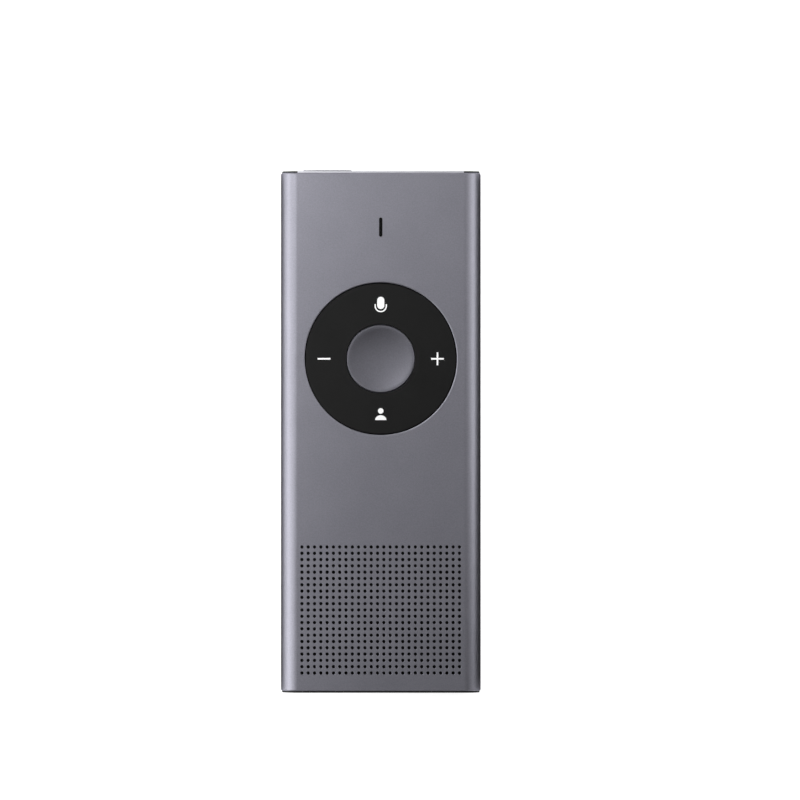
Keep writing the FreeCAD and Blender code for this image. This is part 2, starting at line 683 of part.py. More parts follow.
def make_bracket():
    """The stamped bracket that clamps the board and carries the pivot frame on two posts."""
    body = new_body("key_bracket")
    plan = sketch_on(body, "XY_Plane", "bracket_plan", "board_top")
    low, high = "ring_centre_y - bracket_length / 2", "ring_centre_y + bracket_length / 2"
    edge = "tray_half - 2 * fit_gap"
    rectangle(plan, f"0 - ({edge})", edge, low, high)
    opening_low = "ring_centre_y - bracket_opening / 2"
    opening_high = "ring_centre_y + bracket_opening / 2"
    half = "bracket_opening / 2 - fit_gap"
    rectangle(plan, f"0 - ({half})", half, opening_low, opening_high)
    pad(body, plan, "bracket_pad", "bracket_thickness")
    for sense, word in ((1, "right"), (-1, "left")):
        post = sketch_on(body, "XY_Plane", word + "_post", "board_top")
        middle = f"({sense}) * (frame_reach - ridge_length / 2)"
        rectangle(
            post, f"{middle} - ridge_length / 2", f"{middle} + ridge_length / 2",
            "ring_centre_y - ridge_width / 2", "ring_centre_y + ridge_width / 2",
        )
        pad(body, post, word + "_post_pad", "frame_bottom - board_top - pivot_gap")
    holes = sketch_on(body, "XY_Plane", "bracket_screw_holes", "bracket_top")
    for across, along in bracket_screw_places():
        octagon(holes, across, along, "screw_width + 2 * fit_gap")
    pocket(body, holes, "bracket_screw_cut", "bracket_thickness")
    return body


def bracket_screw_places():
    """Where the four screws go through the bracket and the board into the tray's rails."""
    across = "bay_half + tray_rail / 2"
    along = "bracket_length / 2 - screw_head / 2 - fit_gap"
    return [
        (f"({side}) * ({across})", f"ring_centre_y + ({end}) * ({along})")
        for side in (1, -1) for end in (1, -1)
    ]


def make_board():
    """The main board, drilled for the bracket's screws."""
    body = new_body("main_board")
    plan = sketch_on(body, "XY_Plane", "board_plan", "board_level")
    rectangle(plan, "fit_gap - tray_half", "tray_half - fit_gap", "board_start", "board_end")
    pad(body, plan, "board_pad", "board_thickness")
    holes = sketch_on(body, "XY_Plane", "board_screw_holes", "board_top")
    for across, along in bracket_screw_places():
        octagon(holes, across, along, "screw_width + 2 * fit_gap")
    pocket(body, holes, "board_screw_cut", "board_thickness")
    return body


def make_tray():
    """The moulded inner tray: a trough with rails, a cross wall and screw holes."""
    body = new_body("inner_tray")
    section = sketch_on(body, "XZ_Plane", "tray_section")
    clipped_section(section, "tray_half", "tray_low", "ceiling - fit_gap", "inner_radius")
    pad(body, section, "tray_extrusion", "2 * tray_end", both_ways=True)
    above = sketch_on(body, "XZ_Plane", "tray_above")
    rectangle(above, "0 - inner_half", "inner_half", "board_level", "body_depth")
    pocket(body, above, "tray_open_top", "2 * body_length", both_ways=True)
    bays = sketch_on(body, "XY_Plane", "tray_bays", "board_level")
    rectangle(bays, "0 - bay_half", "bay_half", "cross_wall + tray_wall", "tray_end - tray_wall")
    rectangle(bays, "0 - bay_half", "bay_half", "tray_wall - tray_end", "cross_wall")
    pocket(body, bays, "tray_bays_cut", "board_level - tray_top")

    bosses = sketch_on(body, "XY_Plane", "tray_bosses", "tray_low")
    for side in ("1", "0 - 1"):
        middle = f"({side}) * cap_screw_x"
        rectangle(
            bosses, f"{middle} - boss_width / 2", f"{middle} + boss_width / 2",
            "tray_wall / 2 - tray_end", "tray_wall + boss_length - tray_end",
        )
    pad(body, bosses, "tray_bosses_pad", "board_level - tray_low")
    cap_holes = sketch_on(body, "XZ_Plane", "tray_cap_screw_holes", "tray_end")
    for side in ("1", "0 - 1"):
        octagon(cap_holes, f"({side}) * cap_screw_x", "mid_depth", "screw_width + 2 * thread_gap")
    pocket(body, cap_holes, "tray_cap_screw_cut", "tray_wall + boss_length")
    rail_holes = sketch_on(body, "XY_Plane", "tray_rail_holes", "board_level")
    for across, along in bracket_screw_places():
        octagon(rail_holes, across, along, "screw_width + 2 * thread_gap")
    pocket(body, rail_holes, "tray_rail_cut", "screw_length")

    south = sketch_on(body, "XZ_Plane", "tray_south_notches", "tray_end")
    rectangle(
        south, "0 - socket_width / 2 - fit_gap", "socket_width / 2 + fit_gap",
        "charging_low", "body_depth",
    )
    microphone_notch(south, "charging_top")
    pocket(body, south, "tray_south_cut", "tray_wall")
    north = sketch_on(body, "XZ_Plane", "tray_north_notches", "0 - tray_end")
    microphone_notch(north, "board_level - microphone_height - fit_gap")
    rectangle(
        north,
        "button_centre_x - switch_length / 2 - fit_gap",
        "button_centre_x + switch_length / 2 + fit_gap",
        "board_level - switch_height - fit_gap", "body_depth",
    )
    pocket(body, north, "tray_north_cut", "tray_wall", backwards=True)
    return body


def microphone_notch(sketch, low):
    """The gap in the tray's end wall that a microphone looks through."""
    rectangle(
        sketch, "microphone_x - microphone_width / 2 - fit_gap",
        "microphone_x + microphone_width / 2 + fit_gap", low, "body_depth",
    )


def make_screws():
    """Four screws through the bracket, and two through the bottom cap."""
    long_screws = []
    for index, (across, along) in enumerate(bracket_screw_places(), start=1):
        shaft = bolt(
            f"bracket_screw_shaft_{index}", (across, along, "bracket_top - screw_length"),
            "screw_width", "screw_length",
        )
        head = bolt(
            f"bracket_screw_head_{index}", (across, along, "bracket_top"),
            "screw_head", "screw_head_height",
        )
        long_screws.append(joined(f"bracket_screw_{index}", [shaft, head]))
    group("bracket_screws", long_screws)
    cap_screws = []
    inwards = Vector(0, 1, 0)
    for index, across in enumerate(("0 - cap_screw_x", "cap_screw_x"), start=1):
        head_foot = "0 - cap_face + fit_gap"
        head = bolt(
            f"cap_screw_head_{index}", (across, head_foot, "mid_depth"),
            "screw_head", "screw_head_height", inwards,
        )
        shaft = bolt(
            f"cap_screw_shaft_{index}", (across, f"{head_foot} + screw_head_height", "mid_depth"),
            "screw_width", "screw_length - fit_gap", inwards,
        )
        cap_screws.append(joined(f"cap_screw_{index}", [head, shaft]))
    group("cap_screws", cap_screws)


def make_domes():
    """Five snap domes on the board: one under each sign and one under the centre key."""
    domes = []
    places = {
        "middle": ("0", "0"),
        "top": ("0", "sign_radius"),
        "bottom": ("0", "0 - sign_radius"),
        "right": ("sign_radius", "0"),
        "left": ("0 - sign_radius", "0"),
    }
    for word, (across, up) in places.items():
        middle = (across, f"ring_centre_y + {up}", "board_top")
        domes.append(bolt(f"{word}_dome", middle, "dome_width", "dome_height"))
    group("key_domes", domes)


def make_power_button():
    """The power button in the top cap: a pill-shaped bar with a flange behind it."""
    body = new_body("power_button")
    bar = sketch_on(body, "XZ_Plane", "button_bar", "0 - button_face")
    pill(bar, "button_centre_x", "mid_depth", "button_length", "button_height", upright=False)
    pad(body, bar, "button_bar_pad", "button_face - flange_inner")
    flange = sketch_on(body, "XZ_Plane", "button_flange_shape", "0 - flange_outer")
    rectangle(
        flange,
        "button_centre_x - button_length / 2 - button_lip",
        "button_centre_x + button_length / 2 + button_lip",
        "mid_depth - button_height / 2 - button_lip",
        "mid_depth + button_height / 2 + button_lip",
    )
    pad(body, flange, "button_flange_pad", "button_flange")
    return body


def make_power_switch():
    """The side-push switch under the board's top edge."""
    case = block(
        "power_switch_case",
        ("button_centre_x - switch_length / 2", "button_centre_x + switch_length / 2"),
        ("switch_outer - switch_depth", "switch_outer"),
        ("board_level - switch_height", "board_level"),
    )
    half = "plunger_size / 2"
    plunger = block(
        "power_switch_plunger",
        (f"button_centre_x - {half}", f"button_centre_x + {half}"),
        ("switch_outer - plunger_length", "plunger_tip"),
        (f"board_level - switch_height / 2 - {half}", f"board_level - switch_height / 2 + {half}"),
    )
    joined("power_switch", [case, plunger])


def make_indicator():
    """The smoked light pipe in the front slot, and the light under it."""
    body = new_body("indicator_light_pipe")
    bar = sketch_on(body, "XY_Plane", "light_pipe_bar", "ceiling - fit_gap")
    pill(
        bar, "0", "slot_centre_y", "slot_length - fit_gap", "slot_width - fit_gap", upright=True,
    )
    pad(body, bar, "light_pipe_bar_pad", "body_depth - hole_bevel - ceiling + fit_gap")
    foot = sketch_on(body, "XY_Plane", "light_pipe_foot", "ceiling")
    rectangle(
        foot, "0 - 2 * slot_width", "2 * slot_width",
        "slot_centre_y - slot_length / 2 - slot_width", "slot_centre_y + slot_length / 2 + slot_width",
    )
    pad(body, foot, "light_pipe_foot_pad", "ceiling - board_top - chip_height", backwards=True)
    block(
        "indicator_light",
        ("0 - slot_width", "slot_width"),
        ("slot_centre_y - slot_width", "slot_centre_y + slot_width"),
        ("board_top", "board_top + chip_height - fit_gap"),
    )


def make_speaker():
    """The speaker under the drilled field, with its mesh, gasket, cone and magnet."""
    across = ("0 - speaker_width / 2", "speaker_width / 2")
    along = ("speaker_south", "speaker_north")
    inner_across = ("speaker_rim - speaker_width / 2", "speaker_width / 2 - speaker_rim")
    inner_along = ("speaker_south + speaker_rim", "speaker_north - speaker_rim")
    block(
        "dust_mesh",
        ("0 - mesh_half", "mesh_half"),
        ("grille_low - grille_hole", "grille_high + grille_hole"),
        ("ceiling - tape_thickness", "ceiling"),
    )
    cut_from(
        "speaker_gasket",
        block("gasket_outer", across, along, ("speaker_top", "ceiling - tape_thickness")),
        block("gasket_inner", inner_across, inner_along, ("speaker_top", "ceiling")),
    )
    shell = cut_from(
        "speaker_shell",
        block("speaker_outer", across, along, ("speaker_low", "speaker_top")),
        block(
            "speaker_inner", inner_across, inner_along,
            ("speaker_low + magnet_height", "speaker_top"),
        ),
    )
    half = "speaker_magnet / 2"
    well = block(
        "magnet_well",
        (f"0 - {half} - fit_gap", f"{half} + fit_gap"),
        (f"grille_centre_y - {half} - fit_gap", f"grille_centre_y + {half} + fit_gap"),
        ("speaker_low", "speaker_top"),
    )
    cut_from("speaker_frame", shell, well)
    block(
        "speaker_magnet_block",
        (f"0 - {half}", half),
        (f"grille_centre_y - {half}", f"grille_centre_y + {half}"),
        ("speaker_low", "speaker_low + magnet_height"),
    )
    rim = "speaker_rim + cone_edge"
    block(
        "speaker_cone",
        (f"{rim} - speaker_width / 2", f"speaker_width / 2 - ({rim})"),
        (f"speaker_south + {rim}", f"speaker_north - ({rim})"),
        ("speaker_low + magnet_height", "speaker_top - cone_edge / 2"),
    )


def make_socket():
    """The charging socket: a drawn shell open to the bottom, and its tongue."""
    body = new_body("charging_socket_shell")
    outer = sketch_on(body, "XZ_Plane", "socket_outer", "cap_face - cap_plate / 2")
    pill(outer, "0", "mid_depth", "socket_width", "socket_height", upright=False)
    pad(body, outer, "socket_outer_pad", "socket_length", backwards=True)
    inner = sketch_on(body, "XZ_Plane", "socket_inner", "cap_face - cap_plate / 2")
    pill(
        inner, "0", "mid_depth",
        "socket_width - 2 * socket_sheet", "socket_height - 2 * socket_sheet", upright=False,
    )
    pocket(body, inner, "socket_inner_cut", "socket_length - socket_sheet")
    back = "cap_face - cap_plate / 2 - socket_length + socket_sheet"
    block(
        "charging_socket_tongue",
        ("0 - tongue_width / 2", "tongue_width / 2"),
        (f"0 - ({back}) - tongue_length", f"0 - ({back})"),
        ("mid_depth - tongue_height / 2", "mid_depth + tongue_height / 2"),
    )


def make_boards_and_chips():
    """The charging board, the flat cable to the main board, and what the boards carry."""
    block(
        "charging_board",
        ("0 - charging_board_width / 2", "charging_board_width / 2"),
        ("charging_south", "charging_south + charging_board_length"),
        ("charging_low", "charging_top"),
    )
    for label, along, up in (
        (
            "top_microphone",
            ("board_end - microphone_length", "board_end"),
            ("board_level - microphone_height", "board_level"),
        ),
        (
            "bottom_microphone",
            ("0 - tray_end", "microphone_length - tray_end"),
            ("charging_top", "charging_top + microphone_height"),
        ),
    ):
        across = ("microphone_x - microphone_width / 2", "microphone_x + microphone_width / 2")
        block(label, across, along, up)

    cable = new_body("flat_cable")
    side_view = sketch_on(cable, "YZ_Plane", "flat_cable_side", "0 - flex_width / 2")
    landing = "charging_south + charging_board_length"
    rise = "cross_wall - flex_width / 4"
    outline(side_view, [
        (f"{landing} - flex_width / 4", "charging_top"),
        (landing, "charging_top"),
        (rise, "board_top"),
        ("shield_south - fit_gap", "board_top"),
        ("shield_south - fit_gap", "board_top + flex_thickness"),
        (rise, "board_top + flex_thickness"),
        (landing, "charging_top + flex_thickness"),
        (f"{landing} - flex_width / 4", "charging_top + flex_thickness"),
    ])
    pad(cable, side_view, "flat_cable_pad", "flex_width")

    springs = [
        block(
            f"speaker_spring_{word}",
            (f"({side}) * spring_x - spring_size / 2", f"({side}) * spring_x + spring_size / 2"),
            ("grille_centre_y - spring_size / 2", "grille_centre_y + spring_size / 2"),
            ("charging_top", "speaker_low"),
        )
        for word, side in (("right", 1), ("left", -1))
    ]
    group("speaker_springs", springs)

    chip_middle = "shield_south + shield_length / 2"
    chips_left = "0 - (processor_size + chip_space + memory_width) / 2"
    block(
        "processor",
        (chips_left, f"{chips_left} + processor_size"),
        (f"{chip_middle} - processor_size / 2", f"{chip_middle} + processor_size / 2"),
        ("board_top", "board_top + chip_height"),
    )
    block(
        "memory_chip",
        (f"0 - ({chips_left}) - memory_width", f"0 - ({chips_left})"),
        (f"{chip_middle} - memory_length / 2", f"{chip_middle} + memory_length / 2"),
        ("board_top", "board_top + chip_height"),
    )
    block(
        "radio_module",
        ("radio_x - radio_width / 2", "radio_x + radio_width / 2"),
        ("slot_centre_y - radio_length / 2", "slot_centre_y + radio_length / 2"),
        ("board_top", "board_top + radio_height"),
    )
    block(
        "antenna",
        ("antenna_right - antenna_length", "antenna_right"),
        ("plug_end - antenna_thickness", "plug_end"),
        ("board_top + fit_gap", "board_top + fit_gap + antenna_height"),
    )
    cut_from(
        "shield_can",
        block(
            "shield_outer", ("0 - shield_width / 2", "shield_width / 2"),
            ("shield_south", "shield_south + shield_length"), ("board_top", "board_top + shield_height"),
        ),
        block(
            "shield_inner", ("shield_sheet - shield_width / 2", "shield_width / 2 - shield_sheet"),
            ("shield_south + shield_sheet", "shield_south + shield_length - shield_sheet"),
            ("board_top", "board_top + shield_height - shield_sheet"),
        ),
    )


def make_battery():
    """The pouch cell, its tape below and its foam above."""
    across = ("0 - battery_width / 2", "battery_width / 2")
    along = ("battery_centre_y - battery_length / 2", "battery_centre_y + battery_length / 2")
    block("battery_tape", across, along, ("tray_top", "battery_low"))
    block("battery", across, along, ("battery_low", "battery_top"))
    block("battery_foam", across, along, ("battery_top", "board_level"))
    north = "battery_centre_y + battery_length / 2"
    block(
        "battery_circuit",
        ("0 - battery_circuit_width / 2", "battery_circuit_width / 2"),
        (north, f"{north} + battery_circuit_length"),
        ("battery_top - battery_circuit_height", "battery_top"),
    )
    block(
        "battery_connector",
        ("0 - connector_width / 2", "connector_width / 2"),
        (north, f"{north} + battery_circuit_length"),
        ("battery_top", "board_level"),
    )


make_sleeve()
make_top_cap()
make_bottom_cap()
make_ring_key()
make_centre_key()
make_pivot_frame()
make_bracket()
make_board()
make_tray()
make_screws()
make_domes()
make_power_button()
make_power_switch()
make_indicator()
make_speaker()
make_socket()
make_boards_and_chips()
make_battery()

# Every sub-part that is written out, by its label
PARTS = [
    "sleeve_housing", "top_end_cap", "bottom_end_cap", "ring_key", "centre_key", "ring_pivot_frame",
    "key_bracket", "key_domes", "main_board", "inner_tray", "bracket_screws", "cap_screws",
    "power_button", "power_switch", "indicator_light_pipe", "indicator_light", "dust_mesh",
    "speaker_gasket", "speaker_frame", "speaker_magnet_block", "speaker_cone",
    "charging_socket_shell", "charging_socket_tongue", "charging_board", "shield_can",
    "battery_tape", "battery", "battery_foam", "battery_circuit", "battery_connector",
    "top_microphone", "bottom_microphone", "flat_cable", "speaker_springs", "processor",
    "memory_chip", "radio_module", "antenna",
]

doc.recompute()
for item in doc.Objects:
    if "Invalid" in item.State or "Error" in item.State:
        raise RuntimeError("failed: " + item.Label)

os.makedirs("parts", exist_ok=True)
for label in PARTS:
    piece = doc.getObjectsByLabel(label)[0]
    if piece.Shape.isNull() or not piece.Shape.isValid():
        raise RuntimeError("bad shape: " + label)
    piece.Shape.exportStep(f"parts/{label}.step")
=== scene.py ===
"""Looks for the handheld translator: finishes, drilled shell, keys, signs, light and camera.

Metres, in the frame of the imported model: X across the front, Y up the front, Z out of it.
"""
import math
from functools import cached_property
import bmesh
import bpy
from mathutils import Matrix, Vector


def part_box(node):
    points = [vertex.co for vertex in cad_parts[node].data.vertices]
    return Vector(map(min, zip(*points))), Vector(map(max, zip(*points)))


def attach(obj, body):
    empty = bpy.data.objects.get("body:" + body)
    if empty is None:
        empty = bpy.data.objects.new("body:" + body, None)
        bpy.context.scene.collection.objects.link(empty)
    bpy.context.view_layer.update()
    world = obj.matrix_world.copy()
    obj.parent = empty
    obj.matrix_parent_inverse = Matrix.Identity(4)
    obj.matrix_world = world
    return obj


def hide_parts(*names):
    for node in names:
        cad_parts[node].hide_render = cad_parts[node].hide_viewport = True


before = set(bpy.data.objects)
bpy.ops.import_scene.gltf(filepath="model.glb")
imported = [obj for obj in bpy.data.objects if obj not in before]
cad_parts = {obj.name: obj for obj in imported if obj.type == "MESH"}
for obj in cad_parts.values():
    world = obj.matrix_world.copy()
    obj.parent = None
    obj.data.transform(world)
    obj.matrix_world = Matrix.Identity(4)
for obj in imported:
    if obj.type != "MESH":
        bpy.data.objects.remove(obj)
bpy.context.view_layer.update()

MM = 0.001

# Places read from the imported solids
SLEEVE_LOW, SLEEVE_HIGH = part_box("sleeve_housing")
RING_LOW, RING_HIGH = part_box("ring_key")
KEY_LOW, KEY_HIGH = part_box("centre_key")
BUTTON_LOW, BUTTON_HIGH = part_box("power_button")
TOP_CAP_LOW, TOP_CAP_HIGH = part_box("top_end_cap")
BOTTOM_CAP_LOW, BOTTOM_CAP_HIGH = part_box("bottom_end_cap")
MESH_LOW, MESH_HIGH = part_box("dust_mesh")
PIPE_LOW, PIPE_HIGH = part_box("indicator_light_pipe")
SOCKET_LOW, SOCKET_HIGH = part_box("charging_socket_shell")
TONGUE_LOW, TONGUE_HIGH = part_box("charging_socket_tongue")
SCREWS_LOW, SCREWS_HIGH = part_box("cap_screws")
MICROPHONE_LOW, MICROPHONE_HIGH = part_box("bottom_microphone")

# The sleeve
HALF_WIDTH = SLEEVE_HIGH.x
SLEEVE_END = SLEEVE_HIGH.y
FRONT = SLEEVE_HIGH.z
BACK = SLEEVE_LOW.z
CEILING = MESH_HIGH.z
WALL = FRONT - CEILING
MIDDLE = FRONT / 2
EDGE_RADIUS = 4.0 * MM
END_CHAMFER = 0.25 * MM

# The ring, its hole and the centre key
RING_Y = (KEY_LOW.y + KEY_HIGH.y) / 2
RING_RADIUS = 17.9 * MM
RING_GAP = 0.2 * MM
HOLE_RADIUS = RING_RADIUS + RING_GAP
RING_BORE = 8.25 * MM
RING_EDGE = 0.15 * MM
RING_FLOOR = RING_LOW.z + 1.2 * MM
HOLE_BEVEL = 0.3 * MM
RIM_DEPTH = 0.25 * MM
KEY_FACE = RING_HIGH.z
KEY_RADIUS = 8.1 * MM
KEY_BEVEL = 0.2 * MM
KEY_RIM = 0.3 * MM
KEY_DISH = 0.7 * MM

# The signs on the ring
SIGN_HEIGHT = 0.02 * MM
SIGN_STROKE = 0.40 * MM
SIGN_LENGTH = 3.05 * MM

# The indicator slot and the drilled field
SLOT_Y = (PIPE_LOW.y + PIPE_HIGH.y) / 2
SLOT_LENGTH = 4.6 * MM
SLOT_WIDTH = 0.8 * MM
GRILLE_Y = (MESH_LOW.y + MESH_HIGH.y) / 2
PITCH = 1.5 * MM
COLUMNS = 26
ROWS = 21
SOUND_RADIUS = 0.4 * MM
SOUND_BEVEL = 0.05 * MM
SOUND_SIDES = 12

# The ends
BUTTON_X = (BUTTON_LOW.x + BUTTON_HIGH.x) / 2
MICROPHONE_X = (MICROPHONE_LOW.x + MICROPHONE_HIGH.x) / 2
MICROPHONE_HOLE = 0.4 * MM
PLATE_DEPTH = 0.4 * MM
SOCKET_RISE = (SOCKET_HIGH.z - SOCKET_LOW.z) / 2
SCREW_HEAD_RADIUS = 1.2 * MM
SCREW_X = SCREWS_HIGH.x - SCREW_HEAD_RADIUS

# How far a cutter runs past a face
OVERCUT = 1.0 * MM
# What a full round keeps back, so that its two corners stay apart
SLIVER = 0.001 * MM
# Vertices nearer than this are one
MERGE = 0.0001 * MM
# Steps round a whole ring, and round each corner of a small bar
WHOLE_STEPS = 160
ROUND_STEPS = 10
# The angle between two faces from which their edge is a rim to bevel, or stays crisp in shading
RIM_ANGLE = 1.0
CREASE_ANGLE = math.radians(30)


class Wire:
    """A shader value that takes part in sums: each operator adds its Math node."""

    def __init__(self, paint, socket):
        self.paint = paint
        self.socket = socket

    def join(self, operation, first, second):
        """Join two values, either of them a plain number or a wire."""
        return self.paint.node("ShaderNodeMath", {"operation": operation}, {0: first, 1: second})

    def __add__(self, other):
        return self.join("ADD", self, other)

    def __radd__(self, other):
        return self.join("ADD", other, self)

    def __mul__(self, other):
        return self.join("MULTIPLY", self, other)

    def __rmul__(self, other):
        return self.join("MULTIPLY", other, self)


class Paint:
    """One procedural material, with a single way to add nodes."""

    def __init__(self, name):
        self.material = bpy.data.materials.new(name)
        self.material.use_nodes = True
        self.tree = self.material.node_tree
        self.tree.nodes.clear()

    def node(self, kind, settings, sockets, result=0):
        """Add a node of this kind and give back one of its results, if it has any."""
        made = self.tree.nodes.new(kind)
        for name, value in settings.items():
            if name == "stops":
                self.set_stops(made.color_ramp, value)
            else:
                setattr(made, name, value)
        for name, value in sockets.items():
            if isinstance(value, Wire):
                self.tree.links.new(value.socket, made.inputs[name])
            else:
                made.inputs[name].default_value = value
        return None if result is None else Wire(self, made.outputs[result])

    @staticmethod
    def set_stops(ramp, stops):
        for index, (position, colour) in enumerate(stops):
            stop = ramp.elements[index] if index < 2 else ramp.elements.new(position)
            stop.position = position
            stop.color = (*colour, 1)

    @cached_property
    def place(self):
        """The point in the object's own coordinates."""
        return self.node("ShaderNodeTexCoord", {}, {}, "Object")

    def noise(self, scale, detail=2.0, stretch=(1, 1, 1)):
        """Soft noise between 0 and 1; scale is in bumps per metre."""
        place = self.node("ShaderNodeMapping", {}, {"Vector": self.place, "Scale": stretch})
        return self.node("ShaderNodeTexNoise", {}, {"Vector": place, "Scale": scale, "Detail": detail})

    def cells(self, scale):
        """Round cells, dark in their middles."""
        return self.node("ShaderNodeTexVoronoi", {}, {"Vector": self.place, "Scale": scale})

    def blend(self, amount, first, second):
        """Mix two colours. The Mix node names its sockets alike for each kind, so they go by number."""
        factor, first_colour, second_colour, mixed_colour = 0, 6, 7, 2
        first, second = (
            colour if isinstance(colour, Wire) else (*colour, 1) for colour in (first, second)
        )
        sockets = {factor: amount, first_colour: first, second_colour: second}
        return self.node("ShaderNodeMix", {"data_type": "RGBA"}, sockets, mixed_colour)

    def tones(self, amount, colour, darker, lighter):
        """A colour that goes from one share of its brightness to another."""
        return self.blend(amount, shade(colour, darker), shade(colour, lighter))

    def bump(self, height, strength, depth):
        """A surface direction that follows a height."""
        return self.node("ShaderNodeBump", {}, {"Height": height, "Strength": strength, "Distance": depth})

    def show(self, surface):
        """Make this the surface of the material."""
        self.node("ShaderNodeOutputMaterial", {}, {"Surface": surface}, None)
        return self.material

    def finish(self, **sockets):
        """The surface itself; socket names use underscores for spaces."""
        named = {name.replace("_", " "): value for name, value in sockets.items()}
        return self.show(self.node("ShaderNodeBsdfPrincipled", {}, named))


def shade(colour, factor):
    """A colour made darker or lighter."""
    return tuple(channel * factor for channel in colour)


# Finishes of the object
def anodised(name, colour, roughness, grain):
    """Bead-blasted and anodised aluminium: fine sparkle, faint clouding."""
    paint = Paint(name)
    grazing_tint = (0.35, 0.35, 0.38, 1)
    beads = paint.noise(scale=3400, detail=3.0)
    clouds = paint.noise(scale=90)
    sparkle = beads * 0.75 + clouds * 0.25
    dents = paint.cells(scale=4200.0) + beads * 0.6
    return paint.finish(
        Base_Color=paint.tones(sparkle, colour, darker=0.74, lighter=1.26),
        Metallic=1.0,
        Roughness=beads * 0.10 + (roughness - 0.05),
        Specular_Tint=grazing_tint,
        Normal=paint.bump(dents, strength=grain, depth=0.02 * MM),
    )


def painted_highlight_metal(name, colour, roughness):
    """Bright metal with fine turning lines, used as a painted highlight along the top cap's front edge."""
    paint = Paint(name)
    lines = paint.noise(scale=9000, detail=1.0, stretch=(1, 1, 6))
    return paint.finish(
        Base_Color=paint.tones(lines, colour, darker=0.9, lighter=1.08),
        Metallic=1.0,
        Roughness=lines * 0.12 + roughness,
        Normal=paint.bump(lines, strength=0.12, depth=0.01 * MM),
    )


def moulded(name, colour, roughness, grain, gloss=0.5, coat=0.0):
    """Moulded plastic with a fine spark-eroded texture."""
    paint = Paint(name)
    texture = paint.noise(scale=3800, detail=3.0)
    patches = paint.noise(scale=140)
    return paint.finish(
        Base_Color=paint.tones(patches, colour, darker=0.85, lighter=1.15),
        Roughness=texture * 0.14 + (roughness - 0.07),
        Specular_IOR_Level=gloss,
        Coat_Weight=coat,
        Normal=paint.bump(texture, strength=grain, depth=0.02 * MM),
    )


def stamped(name, colour, roughness, direction=(1, 14, 1)):
    """Rolled sheet metal with a straight grain."""
    paint = Paint(name)
    grain = paint.noise(scale=2600, detail=3.0, stretch=direction)
    return paint.finish(
        Base_Color=paint.tones(grain, colour, darker=0.82, lighter=1.1),
        Metallic=1.0,
        Roughness=grain * 0.2 + roughness,
        Normal=paint.bump(grain, strength=0.15, depth=0.01 * MM),
    )


def circuit_board(name):
    """Green solder resist over copper tracks and pads."""
    paint = Paint(name)
    copper, dark_green, green = (0.75, 0.55, 0.22), (0.012, 0.075, 0.03), (0.02, 0.12, 0.045)
    pad_inner, pad_outer = 0.12, 0.16
    tracks = paint.node(
        "ShaderNodeTexBrick", {"offset": 0.5},
        {"Vector": paint.place, "Scale": 900.0, "Mortar Size": 0.06, "Row Height": 0.5}, "Fac",
    )
    pads = paint.node(
        "ShaderNodeValToRGB", {"stops": [(pad_inner, (1, 1, 1)), (pad_outer, (0, 0, 0))]},
        {"Fac": paint.cells(scale=700.0)},
    )
    resist = paint.blend(tracks, dark_green, green)
    return paint.finish(
        Base_Color=paint.blend(pads, resist, copper),
        Metallic=pads * 0.9,
        Roughness=tracks * 0.1 + 0.35,
        Normal=paint.bump(tracks, strength=0.3, depth=0.02 * MM),
    )


def woven(name, colour):
    """Fine acoustic cloth."""
    paint = Paint(name)
    warp, weft = (
        paint.node(
            "ShaderNodeTexWave", {"wave_type": "BANDS", "bands_direction": axis},
            {"Vector": paint.place, "Scale": 2600.0}, "Fac",
        )
        for axis in ("X", "Y")
    )
    threads = warp * weft
    return paint.finish(
        Base_Color=paint.tones(threads, colour, darker=0.3, lighter=1.0),
        Roughness=0.9,
        Normal=paint.bump(threads, strength=0.6, depth=0.03 * MM),
    )


def foam(name, colour):
    """Closed-cell foam."""
    paint = Paint(name)
    cells = paint.cells(scale=2200.0)
    return paint.finish(
        Base_Color=paint.tones(cells, colour, darker=0.5, lighter=1.3),
        Roughness=0.92,
        Normal=paint.bump(cells, strength=0.7, depth=0.06 * MM),
    )


ALUMINIUM = (0.255, 0.253, 0.290)
SHELL_FINISH = anodised("bead_blasted_shell", ALUMINIUM, roughness=0.47, grain=0.10)
KEY_FINISH = anodised("bead_blasted_key", shade(ALUMINIUM, 0.72), roughness=0.40, grain=0.10)
# A bright metal band on the black top cap's front edge: a painted highlight line
PAINTED_HIGHLIGHT_FINISH = painted_highlight_metal("painted_highlight_top_edge", (0.55, 0.55, 0.59), roughness=0.35)
RING_FINISH = moulded("satin_black_ring", (0.0085, 0.0085, 0.0085), roughness=0.55, grain=0.10, gloss=0.12)
CAP_FINISH = moulded("matt_black_cap", (0.010, 0.010, 0.011), roughness=0.6, grain=0.25, gloss=0.25)
PIPE_FINISH = moulded("smoked_light_pipe", (0.002, 0.002, 0.002), roughness=0.3, grain=0.02, gloss=0.1)
SIGN_FINISH = moulded("white_sign", (0.93, 0.93, 0.93), roughness=0.45, grain=0.05)
TRAY_FINISH = moulded("grey_tray", (0.05, 0.05, 0.055), roughness=0.6, grain=0.3)
CHIP_FINISH = moulded("moulding_compound", (0.03, 0.03, 0.032), roughness=0.5, grain=0.3)
TAPE_FINISH = moulded("adhesive_tape", (0.62, 0.6, 0.52), roughness=0.5, grain=0.2)
CABLE_FINISH = moulded("polyimide_film", (0.55, 0.26, 0.05), roughness=0.3, grain=0.08, coat=0.3)
STEEL_FINISH = stamped("stamped_steel", (0.56, 0.56, 0.55), roughness=0.25)
MAGNET_FINISH = stamped("plated_steel", (0.52, 0.52, 0.54), roughness=0.2, direction=(6, 6, 1))
SCREW_FINISH = stamped("blackened_steel", (0.06, 0.06, 0.065), roughness=0.35, direction=(8, 8, 8))
CONTACT_FINISH = stamped("gold_contact", (0.85, 0.62, 0.28), roughness=0.2, direction=(1, 10, 1))
POUCH_FINISH = stamped("battery_pouch", (0.45, 0.45, 0.47), roughness=0.3, direction=(5, 1, 1))
BOARD_FINISH = circuit_board("green_circuit_board")
CLOTH_FINISH = woven("acoustic_cloth", (0.012, 0.012, 0.012))
